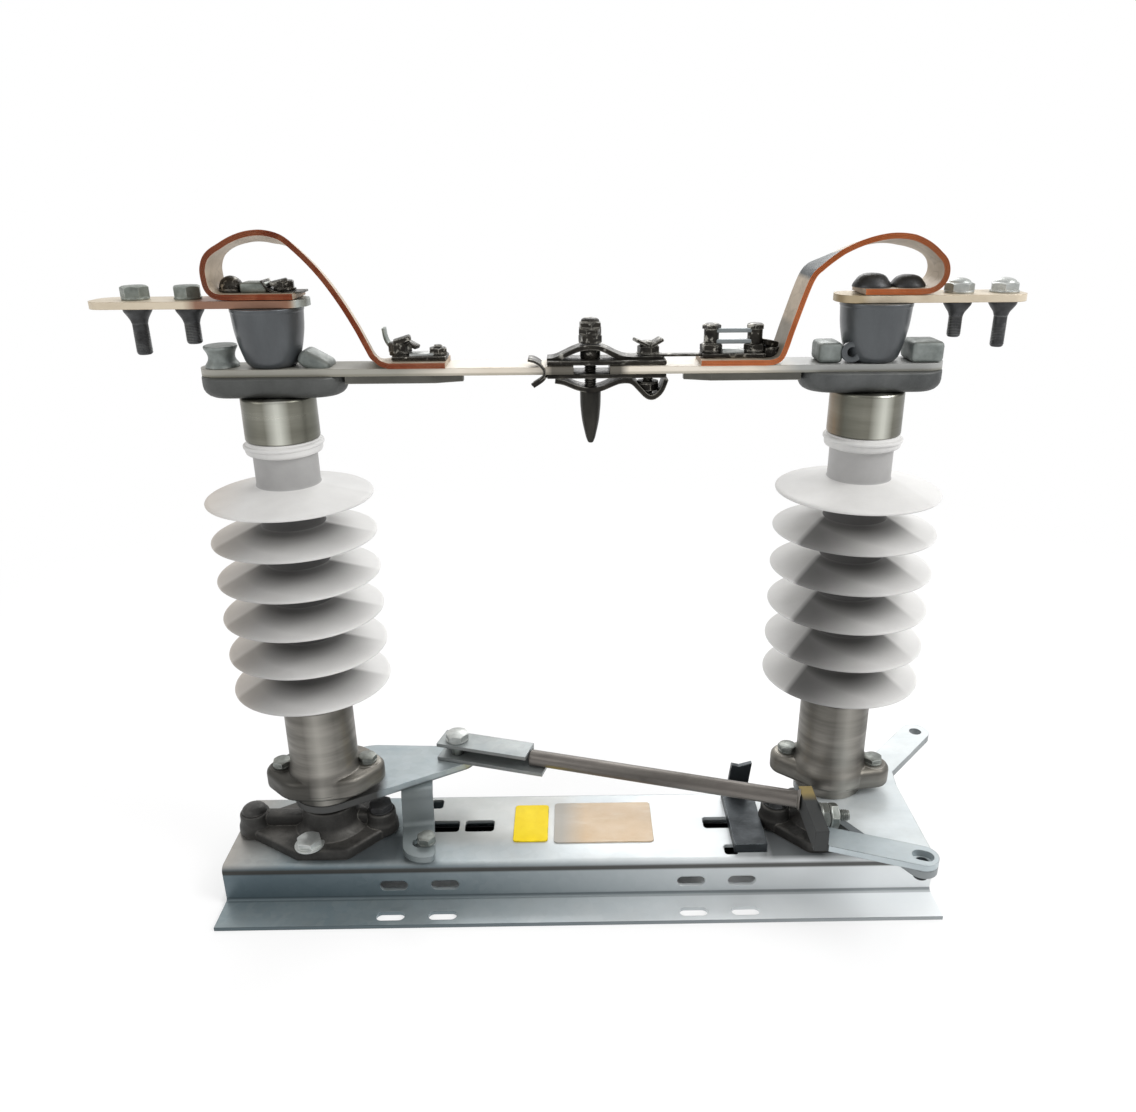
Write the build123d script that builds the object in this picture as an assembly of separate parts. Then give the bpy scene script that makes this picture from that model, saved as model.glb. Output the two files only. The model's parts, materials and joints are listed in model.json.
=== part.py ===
from build123d import *
import os
from math import atan2, cos, degrees, hypot, radians, sin

os.makedirs("parts", exist_ok=True)

# One pole of a two-column, centre-break disconnect switch, lying closed. Millimetres, +Z up, +X from the
# left column to the right one. The origin is midway between the columns, on the underside of the base.

# Driving dimensions of the whole pole
column_spacing = 400.0
base_length = 553.0
base_height = 34.0
web_width = 90.0
flange_reach = 30.0
sheet = 3.0
bend_radius = 5.0
seat_gap = 0.3

# Slots punched in the base
slot_length = 22.0
slot_width = 9.0
slot_pitch = 40.0
slot_pair_distance = 232.5
slot_shift = -8.75
flange_slot_inset = 9.5
wall_slot_height = 14.5
web_slot_length = 24.0
web_slot_width = 14.5
web_slot_corner = 3.0
web_slot_pitch = 28.5
web_slot_x = -95.5
web_slot_y = 2.0
far_web_slot_x = 114.0
pilot_slot_length = 11.0
pilot_slot_width = 12.0
pilot_slot_x = 120.0
pilot_slot_y = 32.0

# Bearing housings that carry the columns
foot_reach = 52.0
left_foot_outer_reach = 74.0
foot_half_width = 38.0
foot_flat = 20.0
foot_thickness = 9.0
drum_radius = 22.0
drum_top = 64.0
ear_radius = 12.0
ear_top = 54.0
spindle_radius = 13.0
foot_corner = 6.0
foot_screw_x = 11.0
foot_screw_y = -30.5

# Lever plates and the turning gear under the columns
lever_bottom = 69.0
lever_thickness = 6.0
lever_hub_radius = 26.0
left_arm_shoulder_radius = 31.0
arm_radius = 108.0
left_arm_angle = 23.5
left_arm_shoulder = 41.0
left_arm_shoulder_angle = 47.0
left_arm_tip_radius = 14.0
right_arm_tip_radius = 11.0
right_arm_shoulder_x = 42.0
right_arm_shoulder_y = -8.0
right_arm_shoulder_radius = 12.0
drive_arm_length = 119.0
drive_arm_angle = 36.5
drive_arm_root_x = 45.5
drive_arm_root_y = 15.5
drive_arm_tip_radius = 11.5
drive_hole_radius = 5.0
pivot_hole_radius = 5.5
stop_arm_x = 70.0
stop_arm_width = 25.0
stop_arm_thickness = 5.0
stop_arm_clearance = 5.0
stop_arm_root = 20.0
stop_arm_bends = (2.0, -6.0)
stop_arm_bend_radius = 7.0
stop_arm_turn = 8.0
stop_foot_reach = 50.0
stop_foot_corner = 18.5
stop_hook_y = 31.0
stop_hook_length = 22.0
stop_hook_width = 11.0

# Lower fittings of the insulators
fitting_flange_end_radius = 13.0
left_fitting_flange_radius = 30.0
right_fitting_flange_radius = 27.0
fitting_boss_height = 6.5
fitting_flange_thickness = 17.0
left_fitting_flange_turn = 4.0
right_fitting_flange_turn = 16.0
fitting_flange_rounding = 3.0
fitting_bolt_clearance = 0.5
neck_radius = 26.0
neck_top = 158.0

# Composite insulators
trunk_radius = 21.7
shed_radius = 57.5
shed_count = 6
shed_pitch = 29.0
first_shed_height = 175.7
shed_root_rise = 9.0
shed_rim = 3.0
lip_radius = 26.0
lip_height = 356.0
lip_thickness = 7.0
rubber_top = 362.0
cap_radius = 25.0

# Heads that carry the blades and the swivel posts
head_bottom = 392.0
head_thickness = 14.0
head_length = 96.0
head_width = 42.0
outer_head_bolt_offset = 34.0
inner_head_bolt_offset = 30.0
head_nut_height = 12.0
post_bottom_radius = 16.0
post_waist_radius = 20.2
post_waist_rise = 14.0
post_shoulder_radius = 22.6
post_shoulder_rise = 26.0
post_top_radius = 23.6
post_top = 449.7

# Terminals
left_terminal_reach = 312.0
right_terminal_reach = 296.0
terminal_inner_overhang = 28.0
terminal_outer_corner = 12.0
terminal_inner_corner = 14.0
terminal_width = 32.0
terminal_thickness = 4.7
left_hole_inset = 28.0
left_hole_pitch = 34.0
right_hole_inset = 12.5
right_hole_pitch = 30.0
terminal_hole_radius = 5.5
inner_stud_clearance = 3.0
outer_stud_tip = 418.0

# Blades, their supports and the centre contact
blade_thickness = 5.0
blade_width = 30.0
left_blade_tip = 0.0
right_blade_tip = 24.0
support_thickness = 6.0
support_width = 18.0
support_tip = 74.0
support_taper = 18.0
finger_thickness = 3.0
finger_width = 26.0
finger_tip = -18.0
finger_end = 62.0
contact_bolt_x = 11.3
rear_bolt_x = 50.0
bow_rise = 9.0
bow_thickness = 2.0
bow_width = 16.0
bow_hook_length = 8.0
bow_hook_rise = 5.0
bow_feet = (1.0, 28.0)
bow_back = (18.0, 44.0)
bow_bend = 6.0
cone_tip_height = 356.0
contact_stud_top = 441.0
horn_radius = 6.5
horn_tip_radius = 2.0

# Flexible copper strips
strip_thickness = 3.6
strip_width = 32.0
strip_end = 81.0
left_strip_start = 22.5
right_strip_start = 13.0
# Corners of each loop: distance outward from the column axis and rise above the strip on the terminal
left_loop = ((31.6, 0.0), (33.2, 26.5), (12.5, 40.4), (-10.0, 41.0), (-26.0, 31.0), (-49.0, 2.5))
left_loop_radii = (4.0, 11.0, 30.0, 25.0, 40.0, 60.0)
left_strip_landing = 129.5
right_loop = ((33.2, 0.0), (37.2, 17.5), (21.5, 29.8), (3.0, 32.6), (-20.0, 28.2), (-47.0, 11.2))
right_loop_radii = (4.0, 8.0, 25.0, 40.0, 50.0, 6.0)
right_strip_landing = 136.8
landing_radius = 6.0

# Clamps that press the strips on the blades
left_strip_bolts = (92.0, 115.0)
right_strip_bolts = (92.0, 121.0)
clamp_overhang = 6.5
clamp_thickness = 3.0
clamp_post_height = 12.0
clamp_tie_rises = (2.0, 9.0)
clamp_tie_width = 3.0
clamp_tie_thickness = 2.0

# Link rod between the lever plates
link_clearance = 0.3
rod_radius = 6.5
fork_length = 92.0
fork_top_length = 78.0
fork_width = 22.0
fork_wall = 3.0
rod_end_x = 169.0
rod_end_y = -38.0
lug_plate_thickness = 10.0
lug_plate_end_y = -86.5
adjuster_length = 22.0
adjuster_y = -58.0
link_strap_thickness = 5.0
link_strap_width = 22.0
strap_slot_length = 15.0

# Fasteners: across flats, head height and shank radius
m10_across = 17.0
m10_head = 6.5
m10_shank = 5.0
m8_across = 13.0
m8_head = 5.5
m8_shank = 4.0
m10 = (m10_across, m10_head, m10_shank)
m8 = (m8_across, m8_head, m8_shank)


def disc(x, y, radius):
    """A flat circle at a place."""
    return Pos(x, y) * Circle(radius)


def hull(*shapes):
    """The flat outline that a tight band round some circles would make."""
    edges = []
    for shape in shapes:
        edges += list(shape.edges())
    return make_hull(edges)


def plate(outline, bottom, thickness):
    """A flat outline given a thickness, standing at a height."""
    return Pos(0, 0, bottom) * extrude(outline, amount=thickness)


def drum(x, y, bottom, top, radius):
    """An upright cylinder."""
    return Pos(x, y, (bottom + top) / 2) * Cylinder(radius, top - bottom)


def cone(x, y, bottom, top, bottom_radius, top_radius):
    """An upright cone with its point cut off."""
    return Pos(x, y, (bottom + top) / 2) * Cone(bottom_radius, top_radius, top - bottom)


def hexagon(x, y, bottom, across_flats, height, turn=30.0):
    """A hexagon head or nut with its axis upright, a flat towards X unless it is turned."""
    outline = Pos(x, y) * Rot(0, 0, turn) * RegularPolygon(across_flats / 2, 6, major_radius=False)
    return plate(outline, bottom, height)


def screw(x, y, tip, seat, size):
    """A hexagon screw whose head stands on a seat and whose shank ends at a tip."""
    across, head, shank = size
    return drum(x, y, tip, seat, shank) + hexagon(x, y, seat, across, head)


def bolt(x, y, nut_seat, tip, seat, size):
    """A hexagon bolt through a stack, with its nut hanging under the nut seat."""
    across, head, shank = size
    return screw(x, y, tip, seat, size) + hexagon(x, y, nut_seat - head, across, head)


def slot(x, y, length, width):
    """A flat slot that runs along X."""
    return Pos(x, y) * SlotOverall(length, width)


def bent_strip(points, radii, width, thickness, across):
    """A flat bar bent along a path; its width lies along the direction across."""
    path = FilletPolyline(*points, radius=radii)
    section = Plane(origin=path @ 0, x_dir=across, z_dir=path % 0) * Rectangle(width, thickness)
    return sweep(section, path)


def save(name, shape):
    export_step(shape, "parts/" + name + ".step")


def column_x(side):
    return side * column_spacing / 2


SIDES = {"left": -1, "right": 1}
half_web = web_width / 2
half_base = base_length / 2
flange_edge = half_web + flange_reach
lever_top = lever_bottom + lever_thickness
flange_bottom = lever_top + fitting_boss_height
fitting_top = flange_bottom + fitting_flange_thickness
head_top = head_bottom + head_thickness
blade_bottom = head_top
blade_top = blade_bottom + blade_thickness
finger_top = blade_top + seat_gap + finger_thickness
finger_bottom = blade_bottom - seat_gap - finger_thickness
terminal_bottom = post_top + seat_gap
terminal_top = terminal_bottom + terminal_thickness
strip_on_terminal = terminal_top + seat_gap + strip_thickness / 2
strip_on_blade = blade_top + strip_thickness / 2
foot_top = base_height + foot_thickness
link_bottom = lever_top + link_clearance
link_height = link_bottom + fork_wall + rod_radius

# Pins of the crossed link. The right arm trails the left one by a right angle, which makes the distance
# between the pins the same with the switch closed and with it open.
left_pin = (
    column_x(-1) + arm_radius * cos(radians(left_arm_angle)),
    arm_radius * sin(radians(left_arm_angle)),
)
right_pin = (
    column_x(1) + arm_radius * sin(radians(left_arm_angle)),
    -arm_radius * cos(radians(left_arm_angle)),
)


# Base: a sheet steel hat section with slots in its feet, its walls and its web
def web_opening(x, y, length, width):
    """What a punch with round corners takes out of the web."""
    outline = Pos(x, y) * RectangleRounded(length, width, web_slot_corner)
    return plate(outline, base_height - sheet - 1, sheet + 2)


def base_channel():
    inner_web = half_web - sheet
    profile = Polyline(
        (-flange_edge, 0),
        (-flange_edge, sheet),
        (-half_web, sheet),
        (-half_web, base_height),
        (half_web, base_height),
        (half_web, sheet),
        (flange_edge, sheet),
        (flange_edge, 0),
        (inner_web, 0),
        (inner_web, base_height - sheet),
        (-inner_web, base_height - sheet),
        (-inner_web, 0),
        close=True,
    )
    face = make_face(profile)
    outer = [v for v in face.vertices() if abs(v.Y - base_height) < 0.01]
    outer += [v for v in face.vertices() if abs(v.Y) < 0.01 and abs(abs(v.X) - inner_web) < 0.01]
    face = fillet(outer, bend_radius)
    inner = [v for v in face.vertices() if abs(v.Y - (base_height - sheet)) < 0.01]
    inner = [v for v in inner if abs(abs(v.X) - inner_web) < 0.01]
    inner += [v for v in face.vertices() if abs(v.Y - sheet) < 0.01 and abs(abs(v.X) - half_web) < 0.01]
    face = fillet(inner, bend_radius - sheet)
    channel = extrude(Plane.YZ * face, amount=half_base, both=True)
    for pair in (-1, 1):
        for step in (-0.5, 0.5):
            x = slot_shift + pair * slot_pair_distance / 2 + step * slot_pitch
            for side in (-1, 1):
                y = side * (flange_edge - flange_slot_inset)
                channel -= plate(slot(x, y, slot_length, slot_width), -1, sheet + 2)
            wall_cut = Plane.XZ * (Pos(x, wall_slot_height) * SlotOverall(slot_length, slot_width))
            channel -= extrude(wall_cut, amount=half_web + 1, both=True)
    web_slots = [web_slot_x - web_slot_pitch / 2, web_slot_x + web_slot_pitch / 2, far_web_slot_x]
    for x in web_slots:
        channel -= web_opening(x, web_slot_y, web_slot_length, web_slot_width)
    for turn in (-1, 1):
        channel -= web_opening(turn * pilot_slot_x, -turn * pilot_slot_y, pilot_slot_length, pilot_slot_width)
    return channel


save("base_channel", base_channel())


# Bearing housings: a six-sided foot, a bored drum and a boss at each end for its bolts
def foot_ends(side):
    """The outer and the inner end of a foot; the left one runs further out."""
    outer = left_foot_outer_reach if side < 0 else foot_reach
    return [column_x(side) + side * outer, column_x(side) - side * foot_reach]


def ear_places(side):
    outer_end, inner_end = foot_ends(side)
    return [outer_end - side * ear_radius, inner_end + side * ear_radius]


def bearing_housing(side):
    x = column_x(side)
    outer_end, inner_end = foot_ends(side)
    corners = [
        (outer_end, 0),
        (x + side * foot_flat, -foot_half_width),
        (x - side * foot_flat, -foot_half_width),
        (inner_end, 0),
        (x - side * foot_flat, foot_half_width),
        (x + side * foot_flat, foot_half_width),
    ]
    foot = plate(make_face(Polyline(*corners, close=True)), base_height, foot_thickness)
    foot = fillet(foot.edges().filter_by(Axis.Z), foot_corner)
    body = foot + drum(x, 0, base_height, drum_top, drum_radius)
    for ear_x in ear_places(side):
        body += drum(ear_x, 0, base_height, ear_top, ear_radius)
        rib = Pos((x + ear_x) / 2, 0, (base_height + ear_top) / 2)
        body += rib * Box(abs(x - ear_x), ear_radius, ear_top - base_height)
    for ear_x in ear_places(side):
        body -= drum(ear_x, 0, base_height - 1, ear_top + 1, m10_shank + seat_gap)
    body -= drum(x, 0, base_height - 1, drum_top + 1, spindle_radius + seat_gap)
    body -= drum(x + side * foot_screw_x, foot_screw_y, base_height - 1, foot_top + 1, m8_shank + seat_gap)
    return body


def housing_bolts(side):
    x = column_x(side)
    group = [screw(ear_x, 0, base_height, ear_top, m10) for ear_x in ear_places(side)]
    group.append(screw(x + side * foot_screw_x, foot_screw_y, base_height, foot_top, m8))
    return Compound(children=group)


for name, side in SIDES.items():
    save(name + "_bearing_housing", bearing_housing(side))
    save(name + "_housing_bolts", housing_bolts(side))


# Stop bracket beside the right housing: a thick pad and a notched upright tab
stop_pad_left = 122.0
stop_pad_right = column_x(1) - foot_reach - seat_gap
stop_pad_front = -36.0
stop_pad_thickness = 8.0
stop_tab_x = (125.0, 146.0)
stop_tab_y = 37.0
stop_tab_thickness = 4.0
stop_tab_top = 70.0
stop_tab_lean = 4.0
stop_notch = 3.0


def stop_bracket():
    pad_width = stop_pad_right - stop_pad_left
    pad = Pos(
        (stop_pad_left + stop_pad_right) / 2,
        (stop_pad_front + stop_tab_y) / 2,
        base_height + stop_pad_thickness / 2,
    ) * Box(pad_width, stop_tab_y - stop_pad_front, stop_pad_thickness)
    left, right = stop_tab_x
    middle = (left + right) / 2
    outline = Polyline(
        (left, base_height),
        (left + stop_tab_lean, stop_tab_top - stop_notch / 2),
        (middle, stop_tab_top - stop_notch),
        (right, stop_tab_top),
        (right - stop_tab_lean, base_height),
        close=True,
    )
    tab = extrude(Plane.XZ.offset(-stop_tab_y) * make_face(outline), amount=stop_tab_thickness)
    return pad + tab


save("stop_bracket", stop_bracket())

# Phase tag and rating plate on the web: thin plates whose faces are bare
tag_centre = (-39.0, 4.0)
tag_size = (28.0, 47.0)
label_centre = (20.0, 4.0)
label_size = (80.0, 51.0)
label_thickness = 1.0
label_corner = 3.0
for name, centre, size in (
    ("phase_tag", tag_centre, tag_size),
    ("rating_plate", label_centre, label_size),
):
    outline = Pos(*centre) * RectangleRounded(size[0], size[1], label_corner)
    save(name, plate(outline, base_height, label_thickness))


# Columns: everything from the spindle in its housing up to the head turns as one body
def spindle(side):
    return drum(column_x(side), 0, base_height + seat_gap, lever_bottom, spindle_radius)


def left_lever():
    x = column_x(-1)
    shoulder = radians(left_arm_shoulder_angle)
    shoulder_x = x + left_arm_shoulder * cos(shoulder)
    shoulder_y = left_arm_shoulder * sin(shoulder)
    arm = hull(
        disc(x, 0, lever_hub_radius),
        disc(shoulder_x, shoulder_y, left_arm_shoulder_radius),
        disc(*left_pin, left_arm_tip_radius),
    )
    body = plate(arm, lever_bottom, lever_thickness)
    return body - drum(*left_pin, lever_bottom - 1, lever_top + 1, pivot_hole_radius)


def stop_arm():
    """A tab bent down from the front edge of the left lever, with a slotted foot."""
    half = stop_arm_thickness / 2
    top = lever_bottom - half
    low = base_height + stop_arm_clearance + half
    upper, lower = stop_arm_bends
    points = [(0, stop_arm_root, top), (0, upper, top), (0, lower, low), (0, -stop_foot_reach, low)]
    tab = bent_strip(points, 2 * [stop_arm_bend_radius], stop_arm_width, stop_arm_thickness, (1, 0, 0))
    front = tab.edges().filter_by(Axis.Z).group_by(Axis.Y)[0]
    tab = fillet(front.group_by(Axis.X)[0], stop_foot_corner)
    front = tab.edges().filter_by(Axis.Z).group_by(Axis.X)[-1].group_by(Axis.Y)[0]
    tab = fillet(front, stop_arm_thickness)
    cut = slot(stop_arm_width / 4, -stop_hook_y, stop_hook_length, stop_hook_width)
    tab -= plate(cut, low - stop_arm_thickness, 2 * stop_arm_thickness)
    return Pos(column_x(-1) + stop_arm_x, 0, 0) * Rot(0, 0, stop_arm_turn) * tab


def right_lever():
    x = column_x(1)
    turn = radians(drive_arm_angle)
    drive_end = (x + drive_arm_length * cos(turn), drive_arm_length * sin(turn))
    hub = disc(x, 0, lever_hub_radius)
    shoulder = disc(x + right_arm_shoulder_x, right_arm_shoulder_y, right_arm_shoulder_radius)
    root = disc(x + drive_arm_root_x, drive_arm_root_y, drive_arm_tip_radius)
    body = plate(hull(hub, shoulder, disc(*right_pin, right_arm_tip_radius)), lever_bottom, lever_thickness)
    body += plate(hull(hub, shoulder, root), lever_bottom, lever_thickness)
    body += plate(hull(root, disc(*drive_end, drive_arm_tip_radius)), lever_bottom, lever_thickness)
    body -= drum(*right_pin, lever_bottom - 1, lever_top + 1, m10_shank)
    body -= drum(*drive_end, lever_bottom - 1, lever_top + 1, drive_hole_radius)
    return body


def right_lever_pin():
    """Pin of the right lever, flush with its top under the slot in the link's strap."""
    return drum(*right_pin, lever_bottom - m10_head, lever_top, m10_shank)


def flange_turn(side):
    return left_fitting_flange_turn if side < 0 else right_fitting_flange_turn


def flange_bolt_places(side):
    """Where the two bolts of a lower fitting stand; the flange is turned a little on its column."""
    turn = radians(flange_turn(side))
    reach = neck_radius + m8_across / 2 + fitting_bolt_clearance
    return [
        (column_x(side) + end * reach * cos(turn), -side * end * reach * sin(turn)) for end in (-1, 1)
    ]


def lower_fitting(side):
    ends = [disc(px, py, fitting_flange_end_radius) for px, py in flange_bolt_places(side)]
    radius = left_fitting_flange_radius if side < 0 else right_fitting_flange_radius
    outline = hull(disc(column_x(side), 0, radius), *ends)
    flange = plate(outline, flange_bottom, fitting_flange_thickness)
    flange = fillet(flange.edges().group_by(Axis.Z)[-1], fitting_flange_rounding)
    return flange + drum(column_x(side), 0, lever_top, neck_top, neck_radius)


def flange_bolts(side):
    """Screw heads on the lower fitting; their shanks are inside the casting."""
    turn = 30 - side * flange_turn(side)
    return [hexagon(px, py, fitting_top, m8_across, m8_head, turn) for px, py in flange_bolt_places(side)]


def insulator(side):
    """Weather sheds on a trunk, with a lip under the upper cap, all one moulding."""
    outline = [(0, neck_top), (trunk_radius, neck_top)]
    for step in range(shed_count):
        rim = first_shed_height + step * shed_pitch
        outline += [
            (trunk_radius, rim),
            (shed_radius - shed_rim, rim - shed_rim / 2),
            (shed_radius, rim),
            (shed_radius - shed_rim, rim + shed_rim / 2),
            (trunk_radius, rim + shed_root_rise),
        ]
    outline += [
        (trunk_radius, lip_height - lip_thickness),
        (lip_radius, lip_height - lip_thickness / 3),
        (lip_radius, lip_height + lip_thickness / 3),
        (cap_radius, rubber_top),
        (0, rubber_top),
    ]
    body = revolve(Plane.XZ * make_face(Polyline(*outline, close=True)), axis=Axis.Z)
    return Pos(column_x(side), 0, 0) * body


def upper_cap(side):
    return drum(column_x(side), 0, rubber_top, head_bottom, cap_radius)


def head_bolt_places(side):
    """The outer bolt of a head and the inner one; both pass through the blade."""
    x = column_x(side)
    return [x + side * outer_head_bolt_offset, x - side * inner_head_bolt_offset]


def head(side):
    x = column_x(side)
    radius = head_width / 2
    reach = head_length / 2 - radius
    body = plate(hull(disc(x - reach, 0, radius), disc(x + reach, 0, radius)), head_bottom, head_thickness)
    body = fillet(body.edges().group_by(Axis.Z)[0], head_thickness / 2)
    for bolt_x in head_bolt_places(side):
        body -= drum(bolt_x, 0, head_bottom - 1, head_top + 1, m10_shank + seat_gap)
    return body


def head_bolts(side):
    """Studs in a head with the tall nuts that press the blade on it."""
    group = []
    for bolt_x in head_bolt_places(side):
        nut = hexagon(bolt_x, 0, blade_top, m10_across, head_nut_height)
        group.append(drum(bolt_x, 0, head_bottom, blade_top, m10_shank) + nut)
    return group


def column_bolts(side):
    return Compound(children=flange_bolts(side) + head_bolts(side))


def swivel_post(side):
    """Post that flares upward from the blade to the terminal."""
    outline = Polyline(
        (0, blade_top),
        (post_bottom_radius, blade_top),
        (post_waist_radius, blade_top + post_waist_rise),
        (post_shoulder_radius, blade_top + post_shoulder_rise),
        (post_top_radius, post_top),
        (0, post_top),
        close=True,
    )
    return Pos(column_x(side), 0, 0) * revolve(Plane.XZ * make_face(outline), axis=Axis.Z)


def blade(side, tip, holes):
    """Flat bar from the rounded outer end of the head to the centre of the switch."""
    radius = blade_width / 2
    start = column_x(side) + side * (head_length / 2 - radius)
    bar = Pos((start + tip) / 2, 0) * Rectangle(abs(tip - start), blade_width)
    body = plate(bar + disc(start, 0, radius), blade_bottom, blade_thickness)
    for x, shank in [(place, m10_shank) for place in head_bolt_places(side)] + holes:
        body -= drum(x, 0, blade_bottom - 1, blade_top + 1, shank + seat_gap)
    return body


def blade_support(side):
    """Steel bar under the blade, cut to a point."""
    start = abs(column_x(side)) - head_length / 2 - seat_gap
    half = support_width / 2
    outline = Polyline(
        (side * start, -half),
        (side * (support_tip + support_taper), -half),
        (side * support_tip, -half / 3),
        (side * support_tip, half / 3),
        (side * (support_tip + support_taper), half),
        (side * start, half),
        close=True,
    )
    return plate(make_face(outline), blade_bottom - support_thickness, support_thickness)


def copper_strip(side, start, loop, radii, landing):
    """Laminated strip from the terminal, up in a loop and down on the blade."""
    x = column_x(side)
    points = [(x - side * start, 0, strip_on_terminal)]
    points += [(x + side * out, 0, strip_on_terminal + rise) for out, rise in loop]
    points += [(side * landing, 0, strip_on_blade), (side * strip_end, 0, strip_on_blade)]
    return bent_strip(points, list(radii) + [landing_radius], strip_width, strip_thickness, (0, 1, 0))


def strip_clamp(side):
    """Bar that presses the strip on the blade, with its two screw heads; the right one carries two posts."""
    places = left_strip_bolts if side < 0 else right_strip_bolts
    bottom = strip_on_blade + strip_thickness / 2
    top = bottom + clamp_thickness
    middle = side * (places[0] + places[1]) / 2
    length = places[1] - places[0] + 2 * clamp_overhang
    body = Pos(middle, 0, (bottom + top) / 2) * Box(length, support_width, clamp_thickness)
    for x in places:
        body += hexagon(side * x, 0, top, m8_across, m8_head)
    if side < 0:
        return body
    top += m8_head
    for x in places:
        body += drum(x, 0, top, top + clamp_post_height, m8_shank)
    for rise in clamp_tie_rises:
        tie = Box(places[1] - places[0], clamp_tie_width, clamp_tie_thickness)
        body += Pos(middle, 0, top + rise) * tie
    return body


for name, side in SIDES.items():
    save(name + "_spindle", spindle(side))
    save(name + "_lower_fitting", lower_fitting(side))
    save(name + "_insulator", insulator(side))
    save(name + "_upper_cap", upper_cap(side))
    save(name + "_head", head(side))
    save(name + "_column_bolts", column_bolts(side))
    save(name + "_swivel_post", swivel_post(side))
    save(name + "_blade_support", blade_support(side))
    save(name + "_strip_clamp", strip_clamp(side))
save("left_lever", left_lever())
save("left_stop_arm", stop_arm())
save("right_lever", right_lever())
save("right_lever_pin", right_lever_pin())
save("left_blade", blade(-1, left_blade_tip, []))
save("right_blade", blade(1, right_blade_tip, [(rear_bolt_x, m8_shank)]))
left_strip = copper_strip(-1, left_strip_start, left_loop, left_loop_radii, left_strip_landing)
right_strip = copper_strip(1, right_strip_start, right_loop, right_loop_radii, right_strip_landing)
save("left_strip", left_strip)
save("right_strip", right_strip)


# Centre contact on the right blade: flat fingers over and under the left blade, bowed springs and a stud
def contact_fingers():
    group = []
    length = finger_end - finger_tip
    for bottom in (finger_top - finger_thickness, finger_bottom):
        finger = Pos((finger_tip + finger_end) / 2, 0, bottom + finger_thickness / 2)
        finger = finger * Box(length, finger_width, finger_thickness)
        for x in (contact_bolt_x, rear_bolt_x):
            finger -= drum(x, 0, bottom - 1, bottom + finger_thickness + 1, m8_shank + seat_gap)
        group.append(finger)
    return Compound(children=group)


def bow_springs():
    group = []
    for up in (1, -1):
        surface = finger_top if up > 0 else finger_bottom
        low = surface + up * bow_thickness / 2
        high = low + up * bow_rise
        points = [
            (finger_tip - bow_hook_length, 0, low + up * bow_hook_rise),
            (finger_tip + bow_feet[0], 0, low),
            (finger_tip + bow_back[0], 0, high),
            (finger_end - bow_back[1], 0, high),
            (finger_end - bow_feet[1], 0, low),
            (finger_end, 0, low),
        ]
        spring = bent_strip(points, 4 * [bow_bend], bow_width, bow_thickness, (0, 1, 0))
        for x in (contact_bolt_x, rear_bolt_x):
            spring -= drum(x, 0, low - 2 * bow_rise, low + 2 * bow_rise, m8_shank + seat_gap)
        group.append(spring)
    return Compound(children=group)


def contact_stud():
    """Stud through fingers and springs, with stacked nuts above and a tapered horn below."""
    spring_top = finger_top + bow_thickness + bow_rise
    spring_bottom = finger_bottom - bow_thickness - bow_rise
    upper_nut = contact_stud_top - m8_head - m8_shank / 2
    body = drum(contact_bolt_x, 0, spring_bottom, contact_stud_top, m8_shank)
    body += hexagon(contact_bolt_x, 0, spring_top, m8_across, m8_head)
    body += hexagon(contact_bolt_x, 0, upper_nut, m8_across, m8_head)
    horn_mid = (spring_bottom + cone_tip_height) / 2
    body += drum(contact_bolt_x, 0, horn_mid, spring_bottom, horn_radius)
    body += cone(contact_bolt_x, 0, cone_tip_height, horn_mid, horn_tip_radius, horn_radius)
    return body


def rear_bolt():
    top = finger_top + bow_thickness
    low = finger_bottom - bow_thickness
    return bolt(rear_bolt_x, 0, low, low - m8_head - m8_shank, top, m8)


save("contact_fingers", contact_fingers())
save("bow_springs", bow_springs())
save("contact_bolts", Compound(children=[contact_stud(), rear_bolt()]))


# Terminals: flat bars on the swivel posts, each with two clamping bolts
def terminal_reach(side):
    return left_terminal_reach if side < 0 else right_terminal_reach


def terminal_plate(side):
    inner = abs(column_x(side)) - terminal_inner_overhang
    outer = terminal_reach(side)
    outline = Pos(side * (inner + outer) / 2, 0) * Rectangle(outer - inner, terminal_width)
    for end, radius in ((outer, terminal_outer_corner), (inner, terminal_inner_corner)):
        corners = [v for v in outline.vertices() if abs(abs(v.X) - end) < 0.01]
        outline = fillet(corners, radius)
    body = plate(outline, terminal_bottom, terminal_thickness)
    for x in terminal_bolt_places(side):
        body -= drum(x, 0, terminal_bottom - 1, terminal_top + 1, terminal_hole_radius)
    return body


def terminal_bolt_places(side):
    """The inner and the outer bolt of a terminal, placed from its free end."""
    inset, pitch = (left_hole_inset, left_hole_pitch) if side < 0 else (right_hole_inset, right_hole_pitch)
    outer = terminal_reach(side) - inset
    return [side * (outer - pitch), side * outer]


def terminal_bolts(side):
    tips = (blade_top + head_nut_height + inner_stud_clearance, outer_stud_tip)
    places = terminal_bolt_places(side)
    group = [bolt(x, 0, terminal_bottom, tip, terminal_top, m10) for x, tip in zip(places, tips)]
    return Compound(children=group)


for name, side in SIDES.items():
    save(name + "_terminal_plate", terminal_plate(side))
    save(name + "_terminal_bolts", terminal_bolts(side))


# Link rod: a channel end over the left pin, a round rod, a cross lug and a strap to the right pin
rod_start = left_pin
rod_angle = degrees(atan2(rod_end_y - rod_start[1], rod_end_x - rod_start[0]))
rod_span = hypot(rod_end_y - rod_start[1], rod_end_x - rod_start[0])
link_frame = Pos(rod_start[0], rod_start[1], 0) * Rot(0, 0, rod_angle)


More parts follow.
